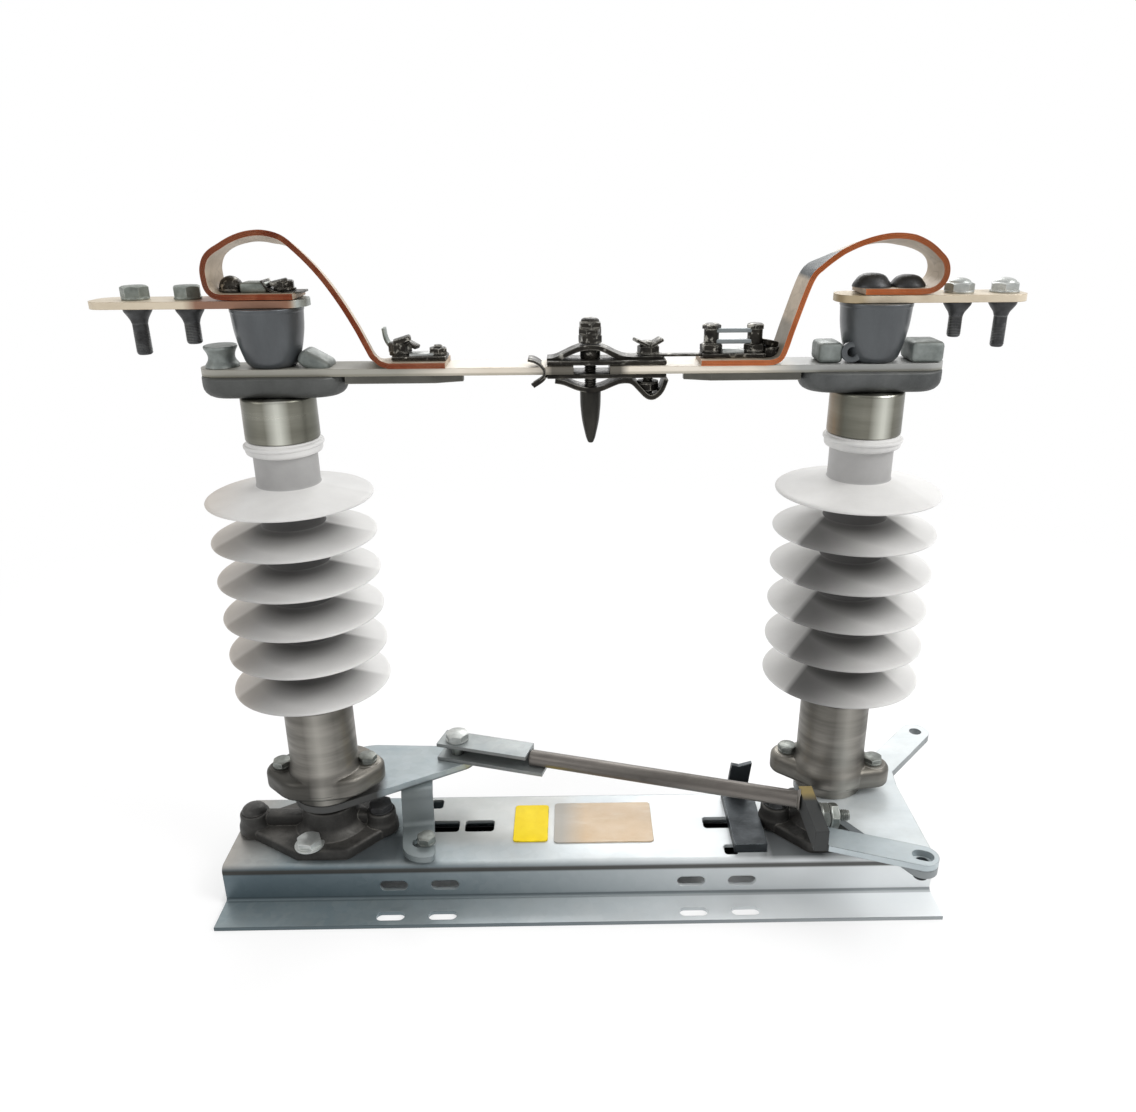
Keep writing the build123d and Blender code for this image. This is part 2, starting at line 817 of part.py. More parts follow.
def link_fork():
    """Channel open at the front, which sits on the left lever; its lower wall runs on under the rod."""
    top = link_height + rod_radius
    start = -left_arm_tip_radius
    height = top - link_bottom
    outer = Pos(start + fork_top_length / 2, 0, link_bottom + height / 2)
    outer = outer * Box(fork_top_length, fork_width, height)
    hollow = Pos(start + fork_length / 2, -fork_wall, link_bottom + height / 2)
    body = outer - hollow * Box(fork_length + 2, fork_width, height - 2 * fork_wall)
    lip = Pos(start + fork_length / 2, 0, link_bottom + fork_wall / 2)
    body += lip * Box(fork_length, fork_width, fork_wall)
    body -= drum(0, 0, link_bottom - 1, top + 1, m10_shank + seat_gap)
    return link_frame * body


def link_rod():
    start = fork_top_length - left_arm_tip_radius
    end = rod_span + 2 * rod_radius
    body = Pos((start + end) / 2, 0, link_height) * Rot(0, 90, 0) * Cylinder(rod_radius, end - start)
    beyond = Pos(rod_end_x + 4 * rod_radius, rod_end_y, link_height)
    return link_frame * body - beyond * Box(8 * rod_radius, 8 * rod_radius, 8 * rod_radius)


def link_lug():
    """Upright cross plate that the rod is welded to, and the strap that runs on to the right pin."""
    lug_x = rod_end_x + lug_plate_thickness / 2
    top = link_height + rod_radius + 1
    depth = rod_end_y + rod_radius - lug_plate_end_y
    lug = Pos(lug_x, rod_end_y + rod_radius - depth / 2, (link_bottom + top) / 2)
    lug = lug * Box(lug_plate_thickness, depth, top - link_bottom)
    start = (rod_end_x + link_strap_width / 2, lug_plate_end_y + link_strap_width / 2)
    strap = plate(
        hull(disc(*start, link_strap_width / 2), disc(*right_pin, link_strap_width / 2)),
        link_bottom,
        link_strap_thickness,
    )
    turn = degrees(atan2(right_pin[1] - start[1], right_pin[0] - start[0]))
    opening = Pos(*right_pin) * Rot(0, 0, turn) * SlotOverall(strap_slot_length, 2 * pivot_hole_radius)
    return lug + strap - plate(opening, link_bottom - 1, link_strap_thickness + 2)


def link_pins():
    """Pin in the left lever's hole and the adjusting screw on the cross plate."""
    fork_pin = drum(*left_pin, lever_bottom - m10_shank, link_height + rod_radius, m10_shank)
    fork_pin += hexagon(*left_pin, link_height + rod_radius, m10_across, m10_head)
    side_x = rod_end_x + lug_plate_thickness
    thread = Pos(side_x + adjuster_length / 2, adjuster_y, link_height) * Rot(0, 90, 0)
    thread = thread * Cylinder(m8_shank, adjuster_length)
    for offset in (0, adjuster_length / 3):
        nut = Pos(side_x + offset, adjuster_y, link_height) * Rot(0, 90, 0) * Rot(0, 0, 30)
        thread += nut * extrude(RegularPolygon(m10_across / 2, 6, major_radius=False), amount=m10_head)
    return Compound(children=[fork_pin, thread])


save("link_fork", link_fork())
save("link_rod", link_rod())
save("link_lug", link_lug())
save("link_pins", link_pins())
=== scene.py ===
# %% [markdown]
# # A disconnect switch, dressed in Blender
# The real object is one pole of an outdoor switch: two rubber insulators turn on a sheet steel base and swing
# two flat blades apart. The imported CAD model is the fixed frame. It could simply be painted, but sheds, castings
# and bolts have soft edges that plain solids lack, so those pieces are modelled again here, in the same places.

# %% Load the frame
import json
from math import atan2, cos, hypot, pi, radians, sin

import bmesh
import bpy
from mathutils import Matrix, Vector
from mathutils.geometry import interpolate_bezier


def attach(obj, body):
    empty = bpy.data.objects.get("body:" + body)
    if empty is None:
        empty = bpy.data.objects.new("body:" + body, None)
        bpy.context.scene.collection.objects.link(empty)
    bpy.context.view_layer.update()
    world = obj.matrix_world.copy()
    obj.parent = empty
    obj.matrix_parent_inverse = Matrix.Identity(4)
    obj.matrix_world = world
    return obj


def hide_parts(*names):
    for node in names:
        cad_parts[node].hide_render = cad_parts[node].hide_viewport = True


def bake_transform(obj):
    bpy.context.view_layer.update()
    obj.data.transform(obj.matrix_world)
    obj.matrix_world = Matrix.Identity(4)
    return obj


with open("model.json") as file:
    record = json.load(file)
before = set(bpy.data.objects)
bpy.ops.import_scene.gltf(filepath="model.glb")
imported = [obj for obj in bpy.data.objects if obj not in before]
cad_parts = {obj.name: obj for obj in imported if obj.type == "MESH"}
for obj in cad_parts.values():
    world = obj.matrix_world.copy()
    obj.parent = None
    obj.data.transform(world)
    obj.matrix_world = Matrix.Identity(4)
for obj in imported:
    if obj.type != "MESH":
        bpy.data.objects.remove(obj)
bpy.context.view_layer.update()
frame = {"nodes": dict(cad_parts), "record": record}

NODES = frame["nodes"]
SLOT_OF = {entry["node"]: entry["material_slot"] for entry in frame["record"]["subparts"]}

# %% [markdown]
# ## A short way to write node trees
# A finish can take fifty nodes. Each could be made, set and linked on three lines, but then its idea drowns. Here
# whatever is handed to a new node is linked if it is a socket and set if it is a value, so a chain of nodes reads
# like a sum.

# %% Node helpers
WHITE = (1.0, 1.0, 1.0, 1.0)


def srgb(text):
    """A colour written as six hex digits, as Blender's linear numbers."""
    parts = [int(text[i : i + 2], 16) / 255 for i in (0, 2, 4)]
    return tuple([c / 12.92 if c <= 0.04045 else ((c + 0.055) / 1.055) ** 2.4 for c in parts] + [1.0])


def plug(tree, value, socket):
    """Link a socket to another one, or set it to a plain value."""
    if isinstance(value, bpy.types.NodeSocket):
        tree.links.new(value, socket)
    elif value is not None:
        socket.default_value = value


def node(tree, kind, *inlets, **settings):
    """A node; the inlets fill its sockets in order, and a setting that names a socket fills that one."""
    made = tree.nodes.new(kind)
    for name, value in settings.items():
        if name in made.inputs:
            plug(tree, value, made.inputs[name])
        else:
            setattr(made, name, value)
    for value, socket in zip(inlets, made.inputs):
        plug(tree, value, socket)
    return made


def ramp(tree, value, low, high, to_low=0.0, to_high=1.0):
    """Stretch a value from one range to another and keep it inside."""
    return node(tree, "ShaderNodeMapRange", value, low, high, to_low, to_high).outputs[0]


def combine(tree, operation, first, second=None):
    """One step of arithmetic on sockets or numbers."""
    return node(tree, "ShaderNodeMath", first, second, operation=operation).outputs[0]


def times(tree, mask, *others):
    """The product of some masks."""
    for other in others:
        mask = combine(tree, "MULTIPLY", mask, other)
    return mask


def mixed(tree, mask, first, second):
    """Blend two colours, given as values or as sockets, by a mask."""
    made = node(tree, "ShaderNodeMix", mask, data_type="RGBA")
    plug(tree, first, made.inputs[6])
    plug(tree, second, made.inputs[7])
    return made.outputs[2]


def where(tree):
    """Object coordinates, which stay still on a piece when it turns."""
    return node(tree, "ShaderNodeTexCoord").outputs["Object"]


def parts_of(tree, vector):
    """The X, Y and Z of a vector."""
    return node(tree, "ShaderNodeSeparateXYZ", vector).outputs


def along(tree, axis, low, high):
    """A mask that runs from 0 to 1 along one axis of the object's coordinates, in metres."""
    return ramp(tree, parts_of(tree, where(tree))[axis], low, high)


def facing(tree, axis, low, high):
    """A mask from the direction that a surface faces."""
    surface = node(tree, "ShaderNodeNewGeometry")
    return ramp(tree, parts_of(tree, surface.outputs["Normal"])[axis], low, high)


def new_material(name):
    """An empty node material and its tree."""
    made = bpy.data.materials.new(name)
    made.use_nodes = True
    made.node_tree.nodes.clear()
    return made, made.node_tree


print("zinc grey in linear light:", [round(part, 3) for part in srgb("a2adb0")])

# %% [markdown]
# ## The room
# A switch like this is photographed on a pale sheet in soft daylight. A white world would flatten the metal, so
# only the camera sees white all round. Reflections see white behind the object and a dimmer room in front, which
# gives round steel its dark edge and bright band. The floor is white as well, except under the back of the base,
# where it is painted dark as shadow; that painted shadow is what the slots show.

# %% World and floor
world = bpy.data.worlds.new("daylight_room")
bpy.context.scene.world = world
world.use_nodes = True
tree = world.node_tree
tree.nodes.clear()
sky = parts_of(tree, node(tree, "ShaderNodeTexCoord").outputs["Generated"])
behind = ramp(tree, sky["Y"], -0.5, 0.6, 0.34, 0.86)
above = ramp(tree, sky["Z"], 0.1, 0.9, 0.0, 0.3)
room = node(tree, "ShaderNodeBackground", WHITE, combine(tree, "ADD", behind, above))
white = node(tree, "ShaderNodeBackground", WHITE, 1.0)
to_camera = node(tree, "ShaderNodeLightPath").outputs["Is Camera Ray"]
choice = node(tree, "ShaderNodeMixShader", to_camera, room.outputs[0], white.outputs[0])
node(tree, "ShaderNodeOutputWorld", choice.outputs[0])

sheet = bmesh.new()
bmesh.ops.create_grid(sheet, x_segments=1, y_segments=1, size=30.0)
floor_mesh = bpy.data.meshes.new("floor")
sheet.to_mesh(floor_mesh)
sheet.free()
floor = bpy.data.objects.new("floor", floor_mesh)
bpy.context.collection.objects.link(floor)

paper, tree = new_material("pale_floor")
spot = parts_of(tree, where(tree))
past_ends = ramp(tree, combine(tree, "ABSOLUTE", spot["X"]), 0.276, 0.284)
past_walls = ramp(tree, combine(tree, "ABSOLUTE", spot["Y"]), 0.045, 0.05)
outside = combine(tree, "MAXIMUM", past_ends, past_walls)
# Painted shadow: inside the base's outline, behind its front, the floor's colour is dark.
pale = combine(tree, "MAXIMUM", outside, ramp(tree, spot["Y"], 0.004, -0.006))
matt = node(tree, "ShaderNodeBsdfDiffuse", mixed(tree, pale, srgb("161514"), srgb("fafafa")))
glow = node(tree, "ShaderNodeEmission", WHITE, 1.0)
far = node(tree, "ShaderNodeVectorMath", where(tree), operation="LENGTH").outputs["Value"]
fade = node(tree, "ShaderNodeMapRange", far, 0.25, 1.1, 0.6, 1.0, interpolation_type="SMOOTHSTEP")
shown = times(tree, fade.outputs[0], outside)
mix = node(tree, "ShaderNodeMixShader", shown, matt.outputs[0], glow.outputs[0])
node(tree, "ShaderNodeOutputMaterial", mix.outputs[0])
floor_mesh.materials.append(paper)
print("floor and world are ready")

# %% [markdown]
# ## Lamps and camera
# Three large soft lamps stand for windows. The strongest is high on the right, where the photograph is brightest.
# The camera was fitted to the photograph: it looks down by about 22 degrees from half a metre up.

# %% Lamps
MIDDLE = Vector((0.0, 0.0, 0.22))
for name, spot, size, watts in (
    ("window_right", (1.25, -0.55, 1.35), 0.9, 17.0),
    ("window_left", (-1.3, -0.9, 1.0), 0.8, 5.0),
    ("window_back", (0.2, 1.5, 1.3), 1.0, 10.0),
):
    light = bpy.data.lights.new(name, "AREA")
    light.shape, light.size, light.energy = "SQUARE", size, watts
    lamp = bpy.data.objects.new(name, light)
    bpy.context.collection.objects.link(lamp)
    lamp.location = spot
    lamp.rotation_euler = (MIDDLE - Vector(spot)).to_track_quat("-Z", "Y").to_euler()
print(len(bpy.data.lights), "lamps")

# %% Camera
PHOTO_WIDTH, PHOTO_HEIGHT = 1136, 1112
FOCAL_PIXELS, CENTRE_PIXEL = 942.34, (585.87, 562.08)
pitch, yaw, roll = radians(21.858), radians(0.674), radians(-0.419)
forward = Vector((sin(yaw) * cos(pitch), cos(yaw) * cos(pitch), -sin(pitch)))
flat_right = Vector((cos(yaw), -sin(yaw), 0.0))
flat_up = flat_right.cross(forward)
right = cos(roll) * flat_right + sin(roll) * flat_up
upward = cos(roll) * flat_up - sin(roll) * flat_right
lens = bpy.data.cameras.new("viewpoint")
lens.sensor_width = 36.0
lens.lens = FOCAL_PIXELS / PHOTO_WIDTH * lens.sensor_width
lens.shift_x = (PHOTO_WIDTH / 2 - CENTRE_PIXEL[0]) / PHOTO_WIDTH
lens.shift_y = (CENTRE_PIXEL[1] - PHOTO_HEIGHT / 2) / PHOTO_WIDTH
lens.clip_start = 0.01
viewpoint = bpy.data.objects.new("viewpoint", lens)
bpy.context.collection.objects.link(viewpoint)
turned_view = Matrix((right, upward, -forward)).transposed().to_4x4()
viewpoint.matrix_world = Matrix.Translation((-0.00009, -0.6364, 0.5223)) @ turned_view
bpy.context.scene.camera = viewpoint
bpy.context.scene.view_settings.view_transform = "Standard"
print("lens", round(lens.lens, 2), "mm")

# %% [markdown]
# ## Shared effects
# Most finishes here need the same three things: a blotchy grain, bright or dark wear on the edges, and dust on
# what faces up. Each is a node group built once. A group gives a mask or a height, and every material then
# decides with its own colours what the mask does. Object coordinates keep the pattern still when a piece turns.

# %% Node groups


def new_group(name, inputs, outputs):
    """A shader node group with named float or vector inputs and float outputs."""
    made = bpy.data.node_groups.new(name, "ShaderNodeTree")
    for title, value in inputs:
        kind = "NodeSocketVector" if isinstance(value, tuple) else "NodeSocketFloat"
        made.interface.new_socket(title, in_out="INPUT", socket_type=kind).default_value = value
    for title in outputs:
        made.interface.new_socket(title, in_out="OUTPUT", socket_type="NodeSocketFloat")
    return made, node(made, "NodeGroupInput").outputs, node(made, "NodeGroupOutput").inputs


grain_group, given, result = new_group(
    "surface_grain", (("Scale", 40.0), ("Stretch", (1.0, 1.0, 1.0)), ("Seed", 0.0)), ("Cloud", "Fine")
)
spread = node(grain_group, "ShaderNodeVectorMath", where(grain_group), given["Stretch"], operation="MULTIPLY")
finer = combine(grain_group, "MULTIPLY", given["Scale"], 11.0)
for title, scale, detail, roughness, low, high in (
    ("Cloud", given["Scale"], 6.0, 0.62, 0.33, 0.67), ("Fine", finer, 4.0, 0.55, 0.2, 0.8),
):
    texture = node(grain_group, "ShaderNodeTexNoise", noise_dimensions="4D", Vector=spread.outputs[0],
                   W=given["Seed"], Scale=scale, Detail=detail, Roughness=roughness)
    plug(grain_group, ramp(grain_group, texture.outputs[0], low, high), result[title])

edge_group, given, result = new_group("edge_wear", (("Radius", 0.0015), ("Scale", 90.0)), ("Mask",))
softened = node(edge_group, "ShaderNodeBevel", samples=4, Radius=given["Radius"]).outputs[0]
plain = node(edge_group, "ShaderNodeNewGeometry").outputs["Normal"]
agreement = node(edge_group, "ShaderNodeVectorMath", softened, plain, operation="DOT_PRODUCT").outputs["Value"]
patchy = node(edge_group, "ShaderNodeTexNoise", Vector=where(edge_group), Scale=given["Scale"], Detail=4.0)
bare = ramp(edge_group, patchy.outputs[0], 0.4, 0.6)
plug(edge_group, times(edge_group, ramp(edge_group, agreement, 0.99, 0.86), bare), result["Mask"])

dust_group, given, result = new_group("settled_dust", (("Scale", 30.0), ("Amount", 0.4)), ("Mask",))
patchy = node(dust_group, "ShaderNodeTexNoise", Vector=where(dust_group), Scale=given["Scale"], Detail=7.0,
              Roughness=0.7)
thick = ramp(dust_group, patchy.outputs[0], 0.38, 0.68)
plug(dust_group, times(dust_group, facing(dust_group, "Z", 0.2, 0.9), thick, given["Amount"]), result["Mask"])
print("groups:", [group.name for group in bpy.data.node_groups])

# %% [markdown]
# ## Finishes
# One helper builds a metal, rubber or paint from the shared groups: a base colour clouded with a second one,
# worn edges, dust, roughness that follows the clouds, and a fine bump. Plates that stay as CAD solids have knife
# edges, so their shading normal is rounded by a Bevel node; pieces with real bevels skip it. The special
# finishes, such as the galvanised sheet with its crystals, then lay more colours over what the helper made.

# %% The finish helper
FINISH = {}


def clouds(tree, scale, stretch, seed):
    """The shared grain with its own values."""
    return node(tree, "ShaderNodeGroup", node_tree=grain_group, Scale=scale, Stretch=stretch, Seed=seed).outputs


def finish(name, colours, rough, metallic, grain, wear, dust, bump, rounding=0.0, coat=0.0, specular=0.5):
    """A material from the shared groups, kept in FINISH; its tree is returned for what only it has."""
    FINISH[name], tree = new_material(name)
    shader = node(tree, "ShaderNodeBsdfPrincipled", name="skin", Metallic=metallic,
                  **{"Coat Weight": coat, "Coat Roughness": 0.25, "Specular IOR Level": specular})
    node(tree, "ShaderNodeOutputMaterial", shader.outputs[0])
    blotches = clouds(tree, *grain, float(len(bpy.data.materials)))
    colour = mixed(tree, blotches["Cloud"], *map(srgb, colours.split()))
    if wear:
        edge = node(tree, "ShaderNodeGroup", node_tree=edge_group, Radius=wear[1])
        colour = mixed(tree, edge.outputs["Mask"], colour, srgb(wear[0]))
    film = node(tree, "ShaderNodeGroup", node_tree=dust_group, Amount=dust[1])
    plug(tree, mixed(tree, film.outputs["Mask"], colour, srgb(dust[0])), shader.inputs["Base Color"])
    plug(tree, ramp(tree, blotches["Cloud"], 0.0, 1.0, *rough), shader.inputs["Roughness"])
    relief = node(tree, "ShaderNodeBump", Strength=bump[0], Distance=bump[1], Height=blotches["Fine"])
    if rounding:
        plug(tree, node(tree, "ShaderNodeBevel", samples=6, Radius=rounding).outputs[0], relief.inputs["Normal"])
    plug(tree, relief.outputs[0], shader.inputs["Normal"])
    return tree


def recolour(tree, colour, *masks):
    """Lay one more colour over the base colour, where all the masks meet."""
    base = tree.nodes["skin"].inputs["Base Color"]
    plug(tree, mixed(tree, times(tree, *masks), base.links[0].from_socket, srgb(colour)), base)


def override(tree, title, value):
    """Let a mask decide one of the shader's own numbers."""
    plug(tree, value, tree.nodes["skin"].inputs[title])


def stripe(tree, axis, low, high, edge=0.0006):
    """A band across one axis: 1 between low and high, with soft edges."""
    return times(tree, along(tree, axis, low - edge, low + edge), along(tree, axis, high + edge, high - edge))


def from_column(tree):
    """How far a point lies to the right of the nearest column axis, and its distance from that axis."""
    spot = parts_of(tree, where(tree))
    axis_x = combine(tree, "MULTIPLY", combine(tree, "SIGN", spot["X"]), 0.2)
    sideways = combine(tree, "SUBTRACT", spot["X"], axis_x)
    flat = node(tree, "ShaderNodeCombineXYZ", sideways, spot["Y"]).outputs[0]
    return sideways, node(tree, "ShaderNodeVectorMath", flat, operation="LENGTH").outputs["Value"]


# %% [markdown]
# ### Sheet steel with a zinc skin
# Hot-dip galvanising freezes into flat crystals a few millimetres wide, then stains in clouds where rain sat.
# A Voronoi texture gives each crystal its own grey and its own gloss; noise alone would look like dirt.

# %% Galvanised sheet
# The third row is a paler copy of the zinc, as painted light for the right lever and the clamp ties.
for name, colours, metallic, crystal_share in (
    ("galvanised_sheet", "a2adb0 87959a", 0.6, 0.14), ("lever_zinc", "b4bcbe 97a2a6", 0.5, 0.18),
    ("bright_zinc", "e9eeef d3dadc", 0.25, 0.12), ("fork_zinc", "a9acab 868a89", 0.55, 0.1),
    ("lug_steel", "c9d2d5 a9b4b8", 0.45, 0.15),
):
    tree = finish(name, colours, (0.3, 0.5), metallic, (14.0, (0.6, 1.4, 1.0)), ("4f5a5e", 0.0009),
                  ("b5b3ab", 0.3), (0.08, 0.0002), 0.0009)
    crystals = node(tree, "ShaderNodeTexVoronoi", Vector=where(tree), Scale=170.0)
    grey = node(tree, "ShaderNodeSeparateColor", crystals.outputs["Color"]).outputs[0]
    recolour(tree, "d3dadd", ramp(tree, grey, 0.0, 1.0, 0.0, crystal_share))
    stain = clouds(tree, 5.0, (0.35, 1.0, 1.0), 3.0)["Cloud"]
    recolour(tree, "6f7d83", ramp(tree, stain, 0.45, 1.0, 0.0, 0.4))
print("zinc:", list(FINISH))

# %% [markdown]
# The base gets painted light toward its right, with less gloss there, and painted shade toward its left end: on its
# front wall, low on the wall, on the web beside the left housing and under the rod at the right. It is also darker
# in the bend at its front and at the foot of its wall. The levers and the link's plates have marks of their own:
# painted shadow round the columns on the left lever, painted shade on its arm, on the sides of the right lever and
# on the fork's front faces, and a black cross plate.

# %% Painted light, painted shade and marks on the zinc
tree = FINISH["galvanised_sheet"].node_tree
# Painted light: the base is lighter and less metallic toward its right.
right_painted_light = along(tree, "X", -0.16, 0.17)
recolour(tree, "f3f6f7", right_painted_light, 0.86)
override(tree, "Metallic", ramp(tree, right_painted_light, 0.0, 1.0, 0.6, 0.1))
# Painted shade on the front wall, deeper toward the left.
recolour(tree, "4a5a62", facing(tree, "Y", -0.4, -0.8), along(tree, "X", 0.24, -0.24), 0.8)
# Painted shade low on the wall and its foot, deeper toward the left.
recolour(tree, "56686f", along(tree, "Z", 0.006, 0.0035), along(tree, "X", 0.16, -0.26), 0.42)
# Painted shadow on the web between the left housing and the stop arm.
left_shade = times(tree, stripe(tree, "X", -0.212, -0.132, 0.012), stripe(tree, "Y", -0.042, -0.006, 0.005))
recolour(tree, "363c40", left_shade, along(tree, "Z", 0.032, 0.0335), 0.72)
recolour(tree, "b59f8c", along(tree, "X", -0.225, -0.285), along(tree, "Z", 0.03, 0.0345), 0.55)
worn_web = times(tree, stripe(tree, "X", -0.13, -0.005, 0.01), stripe(tree, "Y", -0.02, 0.045, 0.006), 0.45)
recolour(tree, "b7b2aa", worn_web, along(tree, "Z", 0.031, 0.0335))
bend = times(tree, along(tree, "Y", -0.0425, -0.0435), stripe(tree, "Z", 0.0268, 0.0309, 0.0008))
recolour(tree, "34322e", bend, 0.92)
# Painted shadow on the web under the rod, beside the right housing.
right_shade = times(tree, stripe(tree, "X", 0.146, 0.196, 0.006), stripe(tree, "Y", -0.0425, 0.004, 0.003))
recolour(tree, "363b3e", right_shade, along(tree, "Z", 0.032, 0.0335), 0.85)
foot = times(tree, stripe(tree, "Y", -0.0482, -0.0444, 0.0004), stripe(tree, "Z", 0.0029, 0.0052, 0.0005))
recolour(tree, "4b565a", foot, 0.75)
recolour(tree, "515c60", along(tree, "Y", -0.0744, -0.0747), 0.7)

tree = FINISH["lever_zinc"].node_tree
sideways, distance = from_column(tree)
# Painted shadow: near the column the lever is dark and less metallic, as under the flange.
recolour(tree, "2b2926", ramp(tree, distance, 0.047, 0.04, 0.0, 0.95))
override(tree, "Metallic", ramp(tree, distance, 0.04, 0.047, 0.0, 0.5))
# Painted shade on the lower part of the arm, lighter further to the right.
arm = times(tree, along(tree, "Z", 0.0708, 0.07), ramp(tree, distance, 0.05, 0.058, 0.0, 1.0))
recolour(tree, "5f6666", arm, ramp(tree, sideways, 0.066, 0.09, 0.9, 0.6))
# The paler zinc of painted light gets painted shade on its sides.
tree = FINISH["bright_zinc"].node_tree
recolour(tree, "4c5355", facing(tree, "Z", 0.6, 0.2), 0.75)
tree = FINISH["fork_zinc"].node_tree
# Painted shade on the faces that look to the front, inside the channel.
recolour(tree, "6b6560", facing(tree, "Y", -0.3, -0.7), 0.35)
tree = FINISH["lug_steel"].node_tree
cross_plate = along(tree, "X", 0.1797, 0.1793)
recolour(tree, "1f1e1c", cross_plate, 0.95)
override(tree, "Metallic", ramp(tree, cross_plate, 0.0, 1.0, 0.45, 0.0))
override(tree, "Roughness", ramp(tree, cross_plate, 0.0, 1.0, 0.42, 0.85))
recolour(tree, "a8935a", cross_plate, along(tree, "Z", 0.0915, 0.0925), along(tree, "Y", -0.05, -0.04), 0.8)
print("marks on the base, levers and link plates")

# %% [markdown]
# ### Castings, dark steel, turned metal, copper, rubber and paint
# Grey iron and the cast alloy of the heads have a sand-cast skin, so their bump is coarse. The lower fittings and
# the caps were turned, so their marks run round the axis: the grain is stretched flat by making its height
# coordinate much denser. The rod is drawn, so its marks run along it. The strips are bare copper that has browned,
# with tinned faces gone tan. Silicone rubber is matt and holds grey dust. The rest is plain in a table, since only
# the numbers differ.

# %% The table of finishes
EVEN = (1.0, 1.0, 1.0)
